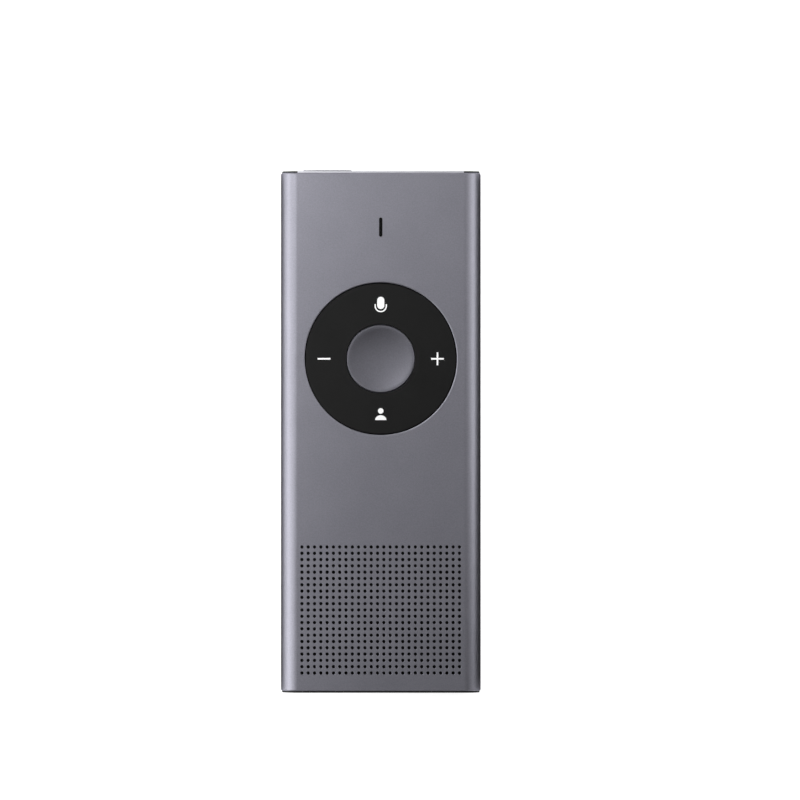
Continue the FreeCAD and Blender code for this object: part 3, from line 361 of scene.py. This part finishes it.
FOAM_FINISH = foam("black_foam", (0.03, 0.03, 0.03))

NODE_FINISHES = {
    "inner_tray": TRAY_FINISH, "speaker_frame": TRAY_FINISH, "main_board": BOARD_FINISH,
    "charging_board": BOARD_FINISH, "battery_circuit": BOARD_FINISH, "key_bracket": STEEL_FINISH,
    "ring_pivot_frame": STEEL_FINISH, "key_domes": STEEL_FINISH, "shield_can": STEEL_FINISH,
    "power_switch": STEEL_FINISH, "bracket_screws": SCREW_FINISH, "indicator_light": TAPE_FINISH,
    "dust_mesh": CLOTH_FINISH, "speaker_gasket": FOAM_FINISH, "battery_foam": FOAM_FINISH,
    "speaker_magnet_block": MAGNET_FINISH, "speaker_cone": CHIP_FINISH, "battery": POUCH_FINISH,
    "battery_tape": TAPE_FINISH, "battery_connector": CHIP_FINISH, "flat_cable": CABLE_FINISH,
    "antenna": CABLE_FINISH, "speaker_springs": CONTACT_FINISH, "processor": CHIP_FINISH,
    "memory_chip": CHIP_FINISH, "radio_module": MAGNET_FINISH, "top_microphone": MAGNET_FINISH,
    "bottom_microphone": MAGNET_FINISH,
}


def dress_solids():
    """Give every solid that stays in view its finish."""
    for node, finish in NODE_FINISHES.items():
        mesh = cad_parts[node].data
        mesh.materials.clear()
        mesh.materials.append(finish)


# Modelling helpers
def place_object(name, data):
    """Put a mesh, a lamp or a camera in the scene, at the origin."""
    made = bpy.data.objects.new(name, data)
    bpy.context.scene.collection.objects.link(made)
    return made


def solid_mesh(name, bm):
    """Turn a bmesh into a mesh."""
    mesh = bpy.data.meshes.new(name)
    bm.to_mesh(mesh)
    bm.free()
    return mesh


def join(bm, part):
    """Add a bmesh to another one."""
    mesh = solid_mesh("part", part)
    bm.from_mesh(mesh)
    bpy.data.meshes.remove(mesh)


def add_mesh(name, mesh, finishes, body, nodes=()):
    """Make a mesh a finished piece that rides on a body."""
    mesh.name = name
    for finish in finishes:
        mesh.materials.append(finish)
    mesh.shade_smooth()
    mesh.set_sharp_from_angle(angle=CREASE_ANGLE)
    piece = place_object(name, mesh)
    weighted = piece.modifiers.new("even_shading", "WEIGHTED_NORMAL")
    weighted.keep_sharp = True
    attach(piece, body)
    if nodes:
        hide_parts(*nodes)
    return piece


def add_piece(name, bm, finishes, body, nodes=()):
    """Make a bmesh a finished piece, with its faces turned outwards."""
    bmesh.ops.recalc_face_normals(bm, faces=bm.faces)
    return add_mesh(name, solid_mesh(name, bm), finishes, body, nodes)


def soften(bm, geometry, size, steps, kind="EDGES"):
    """Round edges, or the corners of a flat shape."""
    bmesh.ops.bevel(
        bm, geom=geometry, affect=kind, offset=size, offset_type="OFFSET",
        segments=steps, profile=0.5, material=-1,
    )


def new_verts(made):
    """The vertices among the geometry that an operator made."""
    return [item for item in made["geom"] if isinstance(item, bmesh.types.BMVert)]


def bar(half_width, half_height, radius, length, steps=12):
    """A bar with round long edges, standing on the origin along Z."""
    bm = bmesh.new()
    size = Matrix.Diagonal((2 * half_width, 2 * half_height, 1, 1))
    grid = bmesh.ops.create_grid(bm, x_segments=1, y_segments=1, size=0.5, matrix=size)
    soften(bm, grid["verts"], radius, steps, "VERTICES")
    bmesh.ops.remove_doubles(bm, verts=bm.verts, dist=MERGE)
    made = bmesh.ops.extrude_face_region(bm, geom=bm.faces[:])
    bmesh.ops.translate(bm, verts=new_verts(made), vec=(0, 0, length))
    bmesh.ops.recalc_face_normals(bm, faces=bm.faces)
    return bm


def pill(half_width, half_height, length, steps=ROUND_STEPS):
    """A bar whose short sides are full rounds, but for a sliver that keeps them apart."""
    return bar(half_width, half_height, min(half_width, half_height) - SLIVER, length, steps)


def rounded_ends(bm, size, steps, above=-OVERCUT):
    """Bevel the rims of a bar standing along Z: both ends, or what lies above a height."""
    rims = []
    for edge in bm.edges:
        low, high = edge.verts
        level = abs(low.co.z - high.co.z) < MERGE
        if level and edge.calc_face_angle(0) > RIM_ANGLE and low.co.z > above:
            rims.append(edge)
    soften(bm, rims, size, steps)


def place_upright(bm, foot, flip=1):
    """Move a bar from Z to lie along Y from its foot; flip -1 points it to -Y."""
    turn = Matrix.Rotation(math.radians(-90 * flip), 4, "X")
    bmesh.ops.transform(bm, matrix=Matrix.Translation(foot) @ turn, verts=bm.verts)


def turned(profile, centre, steps, close=False):
    """Spin a profile of (radius, height) pairs about the upright line through centre."""
    bm = bmesh.new()
    verts = [bm.verts.new((radius, 0, height)) for radius, height in profile]
    pairs = list(zip(verts, verts[1:]))
    if close:
        pairs.append((verts[-1], verts[0]))
    edges = [bm.edges.new(pair) for pair in pairs]
    bmesh.ops.spin(
        bm, geom=verts + edges, cent=(0, 0, 0), axis=(0, 0, 1), dvec=(0, 0, 0),
        angle=2 * math.pi, steps=steps, use_merge=True, use_duplicate=False,
    )
    bmesh.ops.remove_doubles(bm, verts=bm.verts, dist=MERGE)
    bmesh.ops.translate(bm, verts=bm.verts, vec=centre)
    bmesh.ops.recalc_face_normals(bm, faces=bm.faces)
    return bm


def quarter(radius, height, wide, high, start, steps):
    """Points of a quarter of an oval about (radius, height), from start degrees on."""
    points = []
    for step in range(steps + 1):
        angle = math.radians(start + 90 * step / steps)
        points.append((radius + wide * math.cos(angle), height + high * math.sin(angle)))
    return points


def block(bm, low, high):
    """Add a box between two corners and give its vertices."""
    middle = (Vector(low) + Vector(high)) / 2
    size = Vector(high) - Vector(low)
    matrix = Matrix.Translation(middle) @ Matrix.Diagonal((*size, 1))
    return bmesh.ops.create_cube(bm, size=1.0, matrix=matrix)["verts"]


def carve(base, cutters, additions=()):
    """Join shapes to a base shape, cut others out of it and give the result as a mesh."""
    body = place_object("carving", solid_mesh("carving", base))
    helpers = [body]
    steps = [("UNION", shape) for shape in additions] + [("DIFFERENCE", shape) for shape in cutters]
    for index, (operation, shape) in enumerate(steps):
        tool = place_object(f"tool_{index}", solid_mesh(f"tool_{index}", shape))
        helpers.append(tool)
        cut = body.modifiers.new(f"step_{index}", "BOOLEAN")
        cut.operation = operation
        cut.solver = "EXACT"
        cut.object = tool
    bpy.context.view_layer.update()
    settled = body.evaluated_get(bpy.context.evaluated_depsgraph_get())
    result = bpy.data.meshes.new_from_object(settled)
    for helper in helpers:
        bpy.data.objects.remove(helper, do_unlink=True)
    return result


# The drilled sleeve
def repeat_along(bm, step, count):
    """Copy everything count - 1 times, each a step further."""
    geometry = bm.verts[:] + bm.edges[:] + bm.faces[:]
    for index in range(1, count):
        made = bmesh.ops.duplicate(bm, geom=geometry)
        bmesh.ops.translate(bm, verts=new_verts(made), vec=step * index)


def drilled_plate():
    """The drilled field of the front wall: one tile with a round hole, repeated."""
    bm = bmesh.new()
    half = PITCH / 2
    first_hole = Vector((-PITCH * (COLUMNS - 1) / 2, GRILLE_Y - PITCH * (ROWS - 1) / 2, 0))
    square = None
    levels = [
        (square, CEILING),
        (SOUND_RADIUS, CEILING),
        (SOUND_RADIUS, FRONT - SOUND_BEVEL),
        (SOUND_RADIUS + SOUND_BEVEL, FRONT),
        (square, FRONT),
    ]
    half_side = Matrix.Rotation(math.pi / SOUND_SIDES, 4, "Z")
    verts = bmesh.ops.create_circle(bm, segments=SOUND_SIDES, radius=half, matrix=half_side)["verts"]
    edges = bm.edges[:]
    for index, (radius, height) in enumerate(levels):
        if index:
            made = bmesh.ops.extrude_edge_only(bm, edges=edges)
            verts = new_verts(made)
            edges = [
                item for item in made["geom"]
                if isinstance(item, bmesh.types.BMEdge) and all(vert in verts for vert in item.verts)
            ]
        for vert in verts:
            flat = Vector((vert.co.x, vert.co.y))
            if radius is square:
                flat *= half / max(abs(flat.x), abs(flat.y))
            else:
                flat *= radius / flat.length
            vert.co = (flat.x, flat.y, height)
    bmesh.ops.translate(bm, verts=bm.verts, vec=first_hole)
    repeat_along(bm, Vector((PITCH, 0, 0)), COLUMNS)
    repeat_along(bm, Vector((0, PITCH, 0)), ROWS)
    bmesh.ops.remove_doubles(bm, verts=bm.verts, dist=SLIVER)
    bmesh.ops.recalc_face_normals(bm, faces=bm.faces)
    top = max(bm.faces, key=lambda face: face.calc_center_median().z)
    if top.normal.z < 0:
        bmesh.ops.reverse_faces(bm, faces=bm.faces)
    return bm


def make_sleeve():
    """The extruded shell with its ring hole, slot and drilled field."""
    outer = bar(HALF_WIDTH, MIDDLE, EDGE_RADIUS, 2 * SLEEVE_END, steps=16)
    rounded_ends(outer, END_CHAMFER, steps=1)
    place_upright(outer, (0, -SLEEVE_END, MIDDLE))
    inner_length = 2 * SLEEVE_END + 2 * OVERCUT
    inner = bar(HALF_WIDTH - WALL, MIDDLE - WALL, EDGE_RADIUS - WALL, inner_length, ROUND_STEPS)
    place_upright(inner, (0, -SLEEVE_END - OVERCUT, MIDDLE))
    below, past = CEILING - OVERCUT, FRONT + OVERCUT
    rim_out = HOLE_RADIUS + HOLE_BEVEL
    rim = quarter(rim_out, FRONT - RIM_DEPTH, HOLE_BEVEL, RIM_DEPTH, start=90, steps=5)
    profile = [(0, below), (HOLE_RADIUS, below), *reversed(rim), (rim_out, past), (0, past)]
    opening = turned(profile, (0, RING_Y, 0), WHOLE_STEPS)
    slot = pill(SLOT_WIDTH / 2, SLOT_LENGTH / 2, past - below)
    bmesh.ops.translate(slot, verts=slot.verts, vec=(0, SLOT_Y, below))
    half_across, half_along = PITCH * COLUMNS / 2, PITCH * ROWS / 2
    window = bmesh.new()
    block(
        window, (-half_across, GRILLE_Y - half_along, below), (half_across, GRILLE_Y + half_along, past),
    )
    bm = bmesh.new()
    bm.from_mesh(carve(outer, [inner, opening, slot, window]))
    join(bm, drilled_plate())
    mesh = solid_mesh("sleeve_shell", bm)
    add_mesh("sleeve_shell", mesh, [SHELL_FINISH], "housing", ["sleeve_housing"])


# The keys and their signs
def make_ring_face():
    """The black ring key with soft edges."""
    profile = [(RING_BORE, RING_FLOOR), (RING_RADIUS, RING_FLOOR)]
    for radius, start in ((RING_RADIUS - RING_EDGE, 0), (RING_BORE + RING_EDGE, 90)):
        profile += quarter(radius, KEY_FACE - RING_EDGE, RING_EDGE, RING_EDGE, start, steps=4)
    bm = turned(profile, (0, RING_Y, 0), WHOLE_STEPS, close=True)
    add_piece("ring_key_face", bm, [RING_FINISH], "ring", ["ring_key"])


def make_ring_underside():
    """What hides under the ring: a skirt, four tabs, four nubs and two ridges to rock on."""
    under = bmesh.new()
    tab_top = RING_FLOOR + 0.6 * MM
    skirt_inner, skirt_outer = RING_RADIUS - 1.0 * MM, HOLE_RADIUS + 0.5 * MM
    profile = [
        (skirt_inner, RING_FLOOR), (skirt_outer, RING_FLOOR),
        (skirt_outer, tab_top), (skirt_inner, tab_top),
    ]
    join(under, turned(profile, (0, 0, 0), steps=96, close=True))
    tab_inner, tab_half = RING_RADIUS - 2.0 * MM, 4.0 * MM
    nub_place, nub_half = 13.0 * MM, 0.9 * MM
    for turn in range(4):
        verts = block(under, (tab_inner, -tab_half, RING_FLOOR), (RING_HIGH.x, tab_half, tab_top))
        verts += block(
            under, (nub_place - nub_half, -nub_half, RING_LOW.z),
            (nub_place + nub_half, nub_half, RING_FLOOR),
        )
        spin = Matrix.Rotation(math.radians(90 * turn), 4, "Z")
        bmesh.ops.transform(under, matrix=spin, verts=verts)
    ridge_half, ridge_low = 0.25 * MM, RING_FLOOR - 0.67 * MM
    ridge_near, ridge_far = 16.05 * MM, 17.65 * MM
    for low_y, high_y in ((-ridge_far, -ridge_near), (ridge_near, ridge_far)):
        block(under, (-ridge_half, low_y, ridge_low), (ridge_half, high_y, RING_FLOOR))
    bmesh.ops.translate(under, verts=under.verts, vec=(0, RING_Y, 0))
    add_piece("ring_key_underside", under, [RING_FINISH], "ring")


def make_centre_key():
    """The dished centre key on its square foot and stem."""
    stem_half, foot_half = 2.0 * MM, 8.85 * MM
    foot_low, disc_low = KEY_LOW.z + 0.3 * MM, KEY_LOW.z + 0.7 * MM
    reach = KEY_RADIUS - KEY_BEVEL - KEY_RIM
    sphere = (reach ** 2 + KEY_DISH ** 2) / (2 * KEY_DISH)
    profile = [
        (0, disc_low), (KEY_RADIUS, disc_low),
        (KEY_RADIUS, KEY_FACE - KEY_BEVEL), (KEY_RADIUS - KEY_BEVEL, KEY_FACE),
    ]
    dish_steps = 14
    for step in range(dish_steps + 1):
        radius = reach * (1 - step / dish_steps)
        drop = math.sqrt(sphere ** 2 - radius ** 2) - (sphere - KEY_DISH)
        profile.append((radius, KEY_FACE - drop))
    bm = turned(profile, (0, RING_Y, 0), steps=128)
    block(bm, (-foot_half, RING_Y - foot_half, foot_low), (foot_half, RING_Y + foot_half, disc_low))
    block(bm, (-stem_half, RING_Y - stem_half, KEY_LOW.z), (stem_half, RING_Y + stem_half, foot_low))
    add_piece("centre_key_dish", bm, [KEY_FINISH], "centre_key_body", ["centre_key"])


def sign(name, shapes):
    """A printed sign on the ring: flat shapes given as (bmesh, centre)."""
    bm = bmesh.new()
    for shape, centre in shapes:
        bmesh.ops.translate(shape, verts=shape.verts, vec=(*centre, KEY_FACE - SIGN_HEIGHT / 2))
        join(bm, shape)
    add_piece(name, bm, [SIGN_FINISH], "ring")


def stroke(width, height):
    """A straight stroke of a sign, with crisp corners."""
    corner = 0.02 * MM
    return bar(width / 2, height / 2, corner, SIGN_HEIGHT, steps=2)


def dot(half_width, half_height, steps):
    """A round or long dot of a sign."""
    return pill(half_width, half_height, SIGN_HEIGHT, steps)


def arc_stroke(radius, width, start, sweep):
    """Part of a flat ring: a sliver whose front face is spun from start over sweep degrees."""
    bm = bmesh.new()
    inner, outer = radius - width / 2, radius + width / 2
    block(bm, (inner, -SLIVER, 0), (outer, 0, SIGN_HEIGHT))
    front = [face for face in bm.faces if face.calc_center_median().y > -SLIVER / 4]
    bmesh.ops.spin(
        bm, geom=front, cent=(0, 0, 0), axis=(0, 0, 1), dvec=(0, 0, 0),
        angle=math.radians(sweep), steps=24, use_duplicate=False,
    )
    turn = Matrix.Rotation(math.radians(start), 4, "Z")
    bmesh.ops.transform(bm, matrix=turn, verts=bm.verts)
    return bm


def make_signs():
    """Microphone, minus, plus and a person, each centred on its side of the ring."""
    reach = 13.5 * MM
    sign("sign_minus", [(stroke(SIGN_LENGTH, SIGN_STROKE), (-reach, RING_Y))])
    plus = bmesh.new()
    plus.from_mesh(carve(stroke(SIGN_LENGTH, SIGN_STROKE), [], [stroke(SIGN_STROKE, SIGN_LENGTH)]))
    sign("sign_plus", [(plus, (reach, RING_Y))])
    capsule_half_width, capsule_half_height = 0.85 * MM, 1.45 * MM
    microphone_y = RING_Y + 13.3 * MM
    cup_drop, cup_radius, cup_stroke, arm = 0.75 * MM, 1.32 * MM, 0.30 * MM, 0.45 * MM
    cup_y = microphone_y - cup_drop
    sign("sign_microphone", [
        (dot(capsule_half_width, capsule_half_height, steps=10), (0, microphone_y)),
        (arc_stroke(cup_radius, cup_stroke, start=180, sweep=180), (0, cup_y)),
        (stroke(cup_stroke, arm), (-cup_radius, cup_y + arm / 2)),
        (stroke(cup_stroke, arm), (cup_radius, cup_y + arm / 2)),
    ])
    person_y = RING_Y - 13.2 * MM
    head, head_rise = 0.66 * MM, 0.78 * MM
    shoulders, shoulders_drop, shoulders_squash = 1.35 * MM, 1.38 * MM, 0.85
    bust_core = 0.01 * MM
    bust = arc_stroke(shoulders / 2, shoulders - bust_core, start=0, sweep=180)
    bmesh.ops.scale(bust, verts=bust.verts, vec=(1, shoulders_squash, 1))
    sign("sign_person", [
        (dot(head, head, steps=8), (0, person_y + head_rise)),
        (bust, (0, person_y - shoulders_drop)),
    ])


# The ends
def make_button():
    """The power button: a round-ended bar with softened face, and its flange."""
    length, height, edge, flange_depth = 11.7 * MM, 2.4 * MM, 0.12 * MM, 0.6 * MM
    depth = BUTTON_HIGH.y - BUTTON_LOW.y
    bm = pill(length / 2, height / 2, depth)
    rounded_ends(bm, edge, steps=3, above=depth / 2)
    place_upright(bm, (BUTTON_X, BUTTON_LOW.y, MIDDLE))
    block(bm, BUTTON_LOW, (BUTTON_HIGH.x, BUTTON_LOW.y + flange_depth, BUTTON_HIGH.z))
    add_piece("power_button_bar", bm, [KEY_FINISH], "power_button_body", ["power_button"])


def end_plate(low, high, flip):
    """The plate and plug of a cap; flip 1 points it to +Y."""
    slack, edge = 0.1 * MM, 0.1 * MM
    depth = high.y - low.y
    inner_face = low.y if flip > 0 else high.y
    inset = WALL + slack
    plug_depth = depth - PLATE_DEPTH / 2
    plug = bar(HALF_WIDTH - inset, MIDDLE - inset, EDGE_RADIUS - WALL, plug_depth, steps=8)
    place_upright(plug, (0, inner_face, MIDDLE), flip)
    plate = bar(high.x, (high.z - low.z) / 2, EDGE_RADIUS - END_CHAMFER, PLATE_DEPTH)
    rounded_ends(plate, edge, steps=2, above=PLATE_DEPTH / 2)
    place_upright(plate, (0, inner_face + flip * (depth - PLATE_DEPTH), MIDDLE), flip)
    return plug, plate


def through(half_width, half_height, centre_x, low, high):
    """A round-ended cutter that runs along Y past both faces of a cap."""
    tool = pill(half_width, half_height, high.y - low.y + 2 * OVERCUT)
    place_upright(tool, (centre_x, low.y - OVERCUT, MIDDLE))
    return tool


def make_top_cap():
    """The black top cap with the power button's opening, and a bright metal band on its front edge as a
    painted highlight.
    """
    low, high = TOP_CAP_LOW, TOP_CAP_HIGH
    window_half, window_rise = 5.97 * MM, 1.32 * MM
    seat_gap, seat_web = 0.12 * MM, 0.6 * MM
    seat = bmesh.new()
    block(
        seat, (BUTTON_LOW.x - seat_gap, low.y - OVERCUT, BUTTON_LOW.z - seat_gap),
        (BUTTON_HIGH.x + seat_gap, SLEEVE_END - seat_web, BUTTON_HIGH.z + seat_gap),
    )
    cutters = [
        through(window_half, window_rise, BUTTON_X, low, high),
        through(MICROPHONE_HOLE, MICROPHONE_HOLE, MICROPHONE_X, low, high),
        seat,
    ]
    plug, plate = end_plate(low, high, flip=1)
    mesh = carve(plug, cutters, [plate])
    # The straight front-facing faces of the plate take the bright metal: a painted highlight on the black
    # cap
    for face in mesh.polygons:
        straight = abs(face.center.x) < HALF_WIDTH - EDGE_RADIUS
        faces_front = face.center.y > SLEEVE_END and face.normal.z > 0.5
        face.material_index = 1 if straight and faces_front else 0
    add_mesh("top_cap_shell", mesh, [CAP_FINISH, PAINTED_HIGHLIGHT_FINISH], "housing", ["top_end_cap"])


def make_bottom_cap():
    """The black bottom cap with its socket mouth, sound hole and screw holes."""
    low, high = BOTTOM_CAP_LOW, BOTTOM_CAP_HIGH
    mouth_gap, screw_hole = 0.1 * MM, 1.3 * MM
    mouth_half, mouth_rise = SOCKET_HIGH.x + mouth_gap, SOCKET_RISE + mouth_gap
    cutters = [
        through(mouth_half, mouth_rise, 0, low, high),
        through(MICROPHONE_HOLE, MICROPHONE_HOLE, MICROPHONE_X, low, high),
        through(screw_hole, screw_hole, -SCREW_X, low, high),
        through(screw_hole, screw_hole, SCREW_X, low, high),
    ]
    plug, plate = end_plate(low, high, flip=-1)
    mesh = carve(plug, cutters, [plate])
    add_mesh("bottom_cap_shell", mesh, [CAP_FINISH], "housing", ["bottom_end_cap"])


def make_socket_shell():
    """The charging socket's drawn shell, with a soft lip."""
    sheet, lip = 0.3 * MM, 0.06 * MM
    length = SOCKET_HIGH.y - SOCKET_LOW.y
    outer = pill(SOCKET_HIGH.x, SOCKET_RISE, length)
    place_upright(outer, (0, SOCKET_LOW.y, MIDDLE))
    inner = pill(SOCKET_HIGH.x - sheet, SOCKET_RISE - sheet, length)
    place_upright(inner, (0, SOCKET_LOW.y - sheet, MIDDLE))
    mesh = carve(outer, [inner])
    shell = add_mesh(
        "socket_shell", mesh, [STEEL_FINISH], "housing", ["charging_socket_shell"],
    )
    soft = shell.modifiers.new("soft_lip", "BEVEL")
    soft.width = lip
    soft.segments = 2


def make_socket_tongue():
    """The tongue in the socket, its front edges rounded."""
    edge_radius = 0.15 * MM
    tongue = bmesh.new()
    block(tongue, TONGUE_LOW, TONGUE_HIGH)
    front = [
        edge for edge in tongue.edges
        if all(vert.co.y < TONGUE_LOW.y + MERGE for vert in edge.verts)
    ]
    soften(tongue, front, edge_radius, steps=2)
    add_piece("socket_tongue", tongue, [CHIP_FINISH], "housing", ["charging_socket_tongue"])


def make_socket_contacts():
    """A row of gold pads on both sides of the tongue."""
    count, pitch, half, rise = 12, 0.5 * MM, 0.13 * MM, 0.02 * MM
    front = TONGUE_LOW.y + 0.4 * MM
    pads = bmesh.new()
    for index in range(count):
        across = (index - (count - 1) / 2) * pitch
        for level in (TONGUE_LOW.z - rise, TONGUE_HIGH.z):
            block(pads, (across - half, front, level), (across + half, TONGUE_HIGH.y, level + rise))
    add_piece("socket_contacts", pads, [CONTACT_FINISH], "housing")


def make_cap_screws():
    """Two screws with softened heads and a six-sided drive."""
    length = SCREWS_HIGH.y - SCREWS_LOW.y
    head_height, shaft_radius, edge = 0.6 * MM, 0.7 * MM, 0.12 * MM
    drive_radius, drive_depth = 0.5 * MM, 0.8 * MM
    profile = [
        (0, length), (shaft_radius, length), (shaft_radius, head_height),
        (SCREW_HEAD_RADIUS, head_height), (SCREW_HEAD_RADIUS, edge),
        (SCREW_HEAD_RADIUS - edge * 0.4, edge * 0.3), (SCREW_HEAD_RADIUS - edge, 0), (0, 0),
    ]
    bm = bmesh.new()
    for side in (-1, 1):
        foot = (side * SCREW_X, SCREWS_LOW.y, MIDDLE)
        screw = turned(profile, (0, 0, 0), steps=48)
        place_upright(screw, foot)
        drive = bmesh.new()
        bmesh.ops.create_cone(
            drive, cap_ends=True, segments=6, radius1=drive_radius, radius2=drive_radius, depth=drive_depth,
        )
        place_upright(drive, foot, flip=-1)
        bm.from_mesh(carve(screw, [drive]))
    add_piece("cap_screw_heads", bm, [SCREW_FINISH], "housing", ["cap_screws"])


def make_light_pipe():
    """The smoked light pipe that fills the front slot."""
    gap, edge = 0.05 * MM, 0.1 * MM
    bm = pill(SLOT_WIDTH / 2 - gap, SLOT_LENGTH / 2 - gap, PIPE_HIGH.z - CEILING)
    rounded_ends(bm, edge, steps=3, above=0)
    bmesh.ops.translate(bm, verts=bm.verts, vec=(0, SLOT_Y, CEILING))
    block(bm, PIPE_LOW, (PIPE_HIGH.x, PIPE_HIGH.y, CEILING))
    add_piece("indicator_pipe", bm, [PIPE_FINISH], "housing", ["indicator_light_pipe"])


# The studio
FLOOR_SIZE = 3.0
FLOOR_SHADE = 0.8
FLOOR_GLOW = 0.82
FLOOR_DROP = 0.02 * MM


def make_floor():
    """A plain white floor that keeps the object's shadow."""
    paint = Paint("white_floor")
    camera, glossy, transmission = (
        paint.node("ShaderNodeLightPath", {}, {}, f"Is {kind} Ray")
        for kind in ("Camera", "Glossy", "Transmission")
    )
    seen = camera + glossy + transmission
    matt = paint.node("ShaderNodeBsdfDiffuse", {}, {"Color": (FLOOR_SHADE, FLOOR_SHADE, FLOOR_SHADE, 1)})
    glow = paint.node("ShaderNodeEmission", {}, {"Color": (1, 1, 1, 1), "Strength": seen * FLOOR_GLOW})
    finish = paint.show(paint.node("ShaderNodeAddShader", {}, {0: matt, 1: glow}))
    bm = bmesh.new()
    bmesh.ops.create_grid(bm, x_segments=1, y_segments=1, size=FLOOR_SIZE)
    mesh = solid_mesh("floor", bm)
    mesh.materials.append(finish)
    floor = place_object("floor", mesh)
    floor.location.z = -FLOOR_DROP


def make_flags():
    """Two low black cards beside the object, seen only in its reflections."""
    finish = Paint("black_card").finish(Base_Color=(0.004, 0.004, 0.005, 1), Roughness=0.9)
    away, thickness = 7.0 * MM, 0.2 * MM
    flap_inset, flap_height = 3.0 * MM, 0.1 * MM
    for side, word, height in ((-1, "left", 7.5 * MM), (1, "right", 11.0 * MM)):
        across = side * (HALF_WIDTH + away)
        near, far = sorted((side * (HALF_WIDTH - flap_inset), across))
        bm = bmesh.new()
        block(bm, (across - thickness, -SLEEVE_END, BACK), (across + thickness, SLEEVE_END, height))
        block(bm, (near, -SLEEVE_END, BACK), (far, SLEEVE_END, flap_height))
        mesh = solid_mesh(f"{word}_card", bm)
        mesh.materials.append(finish)
        card = place_object(f"{word}_card", mesh)
        card.visible_camera = False
        card.visible_diffuse = False
        card.visible_shadow = False
        card.visible_transmission = False


# Each lamp's name, place, point aimed at, length and width, and power in watts
LAMPS = [
    ("left_low", (-0.150, 0.0, 0.020), (-0.022, 0.0, 0.011), (0.40, 0.035), 0.040),
    ("left_mid", (-0.122, 0.02, 0.058), (-0.022, 0.02, 0.010), (0.36, 0.050), 0.238),
    ("left_near", (-0.072, 0.02, 0.12), (-0.015, 0.0, 0.01), (0.30, 0.05), 0.076),
    ("left_close", (-0.050, -0.03, 0.055), (-0.018, -0.03, 0.011), (0.25, 0.025), 0.016),
    ("right_low", (0.207, 0.09, 0.085), (0.022, 0.05, 0.01), (0.27, 0.11), 0.280),
    ("right_high", (0.137, 0.09, 0.174), (0.022, 0.05, 0.01), (0.24, 0.10), 0.106),
    ("top_left", (-0.10, 0.16, 0.22), (-0.01, 0.03, 0.01), (0.10, 0.10), 0.19),
    ("top_strip", (0, 0.30, 0.045), (0, 0.06, 0.008), (0.20, 0.05), 0.06),
    ("overhead", (0, 0.10, 0.9), (0, 0, 0.01), (0.5, 0.5), 0.54),
]
SKY_COLOUR = (0.92, 0.92, 1.0, 1)
SKY_STRENGTH = 0.012


def make_lights():
    """Long lamps low on both sides, and softer ones above."""
    for name, place, aim, (length, width), watts in LAMPS:
        data = bpy.data.lights.new(name, "AREA")
        data.shape = "RECTANGLE"
        data.size = length
        data.size_y = width
        data.energy = watts
        lamp = place_object(name, data)
        lamp.location = place
        lamp.rotation_euler = (Vector(aim) - Vector(place)).to_track_quat("-Z", "Y").to_euler()


def make_sky():
    """A faint sky that fills the shadows."""
    world = bpy.data.worlds.new("studio")
    world.use_nodes = True
    background = world.node_tree.nodes["Background"]
    background.inputs["Color"].default_value = SKY_COLOUR
    background.inputs["Strength"].default_value = SKY_STRENGTH
    bpy.context.scene.world = world


# The photograph's width and the object's middle in pixels, and a pixel's size on the front
PICTURE = 800
OBJECT_PIXEL = (380.75, 431.9)
PIXEL = 0.238 * MM
CAMERA_HEIGHT = 2.6
CAMERA_REACH = 20


def make_camera():
    """Straight above the front, framed as the photograph is."""
    data = bpy.data.cameras.new("camera")
    data.lens = data.sensor_width * (CAMERA_HEIGHT - FRONT) / (PICTURE * PIXEL)
    data.clip_end = CAMERA_REACH
    camera = place_object("camera", data)
    across = (PICTURE / 2 - OBJECT_PIXEL[0]) * PIXEL
    along = (OBJECT_PIXEL[1] - PICTURE / 2) * PIXEL
    camera.location = (across, along, CAMERA_HEIGHT)
    bpy.context.scene.camera = camera


dress_solids()
make_sleeve()
make_ring_face()
make_ring_underside()
make_centre_key()
make_signs()
make_button()
make_top_cap()
make_bottom_cap()
make_socket_shell()
make_socket_tongue()
make_socket_contacts()
make_cap_screws()
make_light_pipe()
make_floor()
make_flags()
make_lights()
make_sky()
make_camera()
bpy.context.scene.view_settings.view_transform = "Standard"
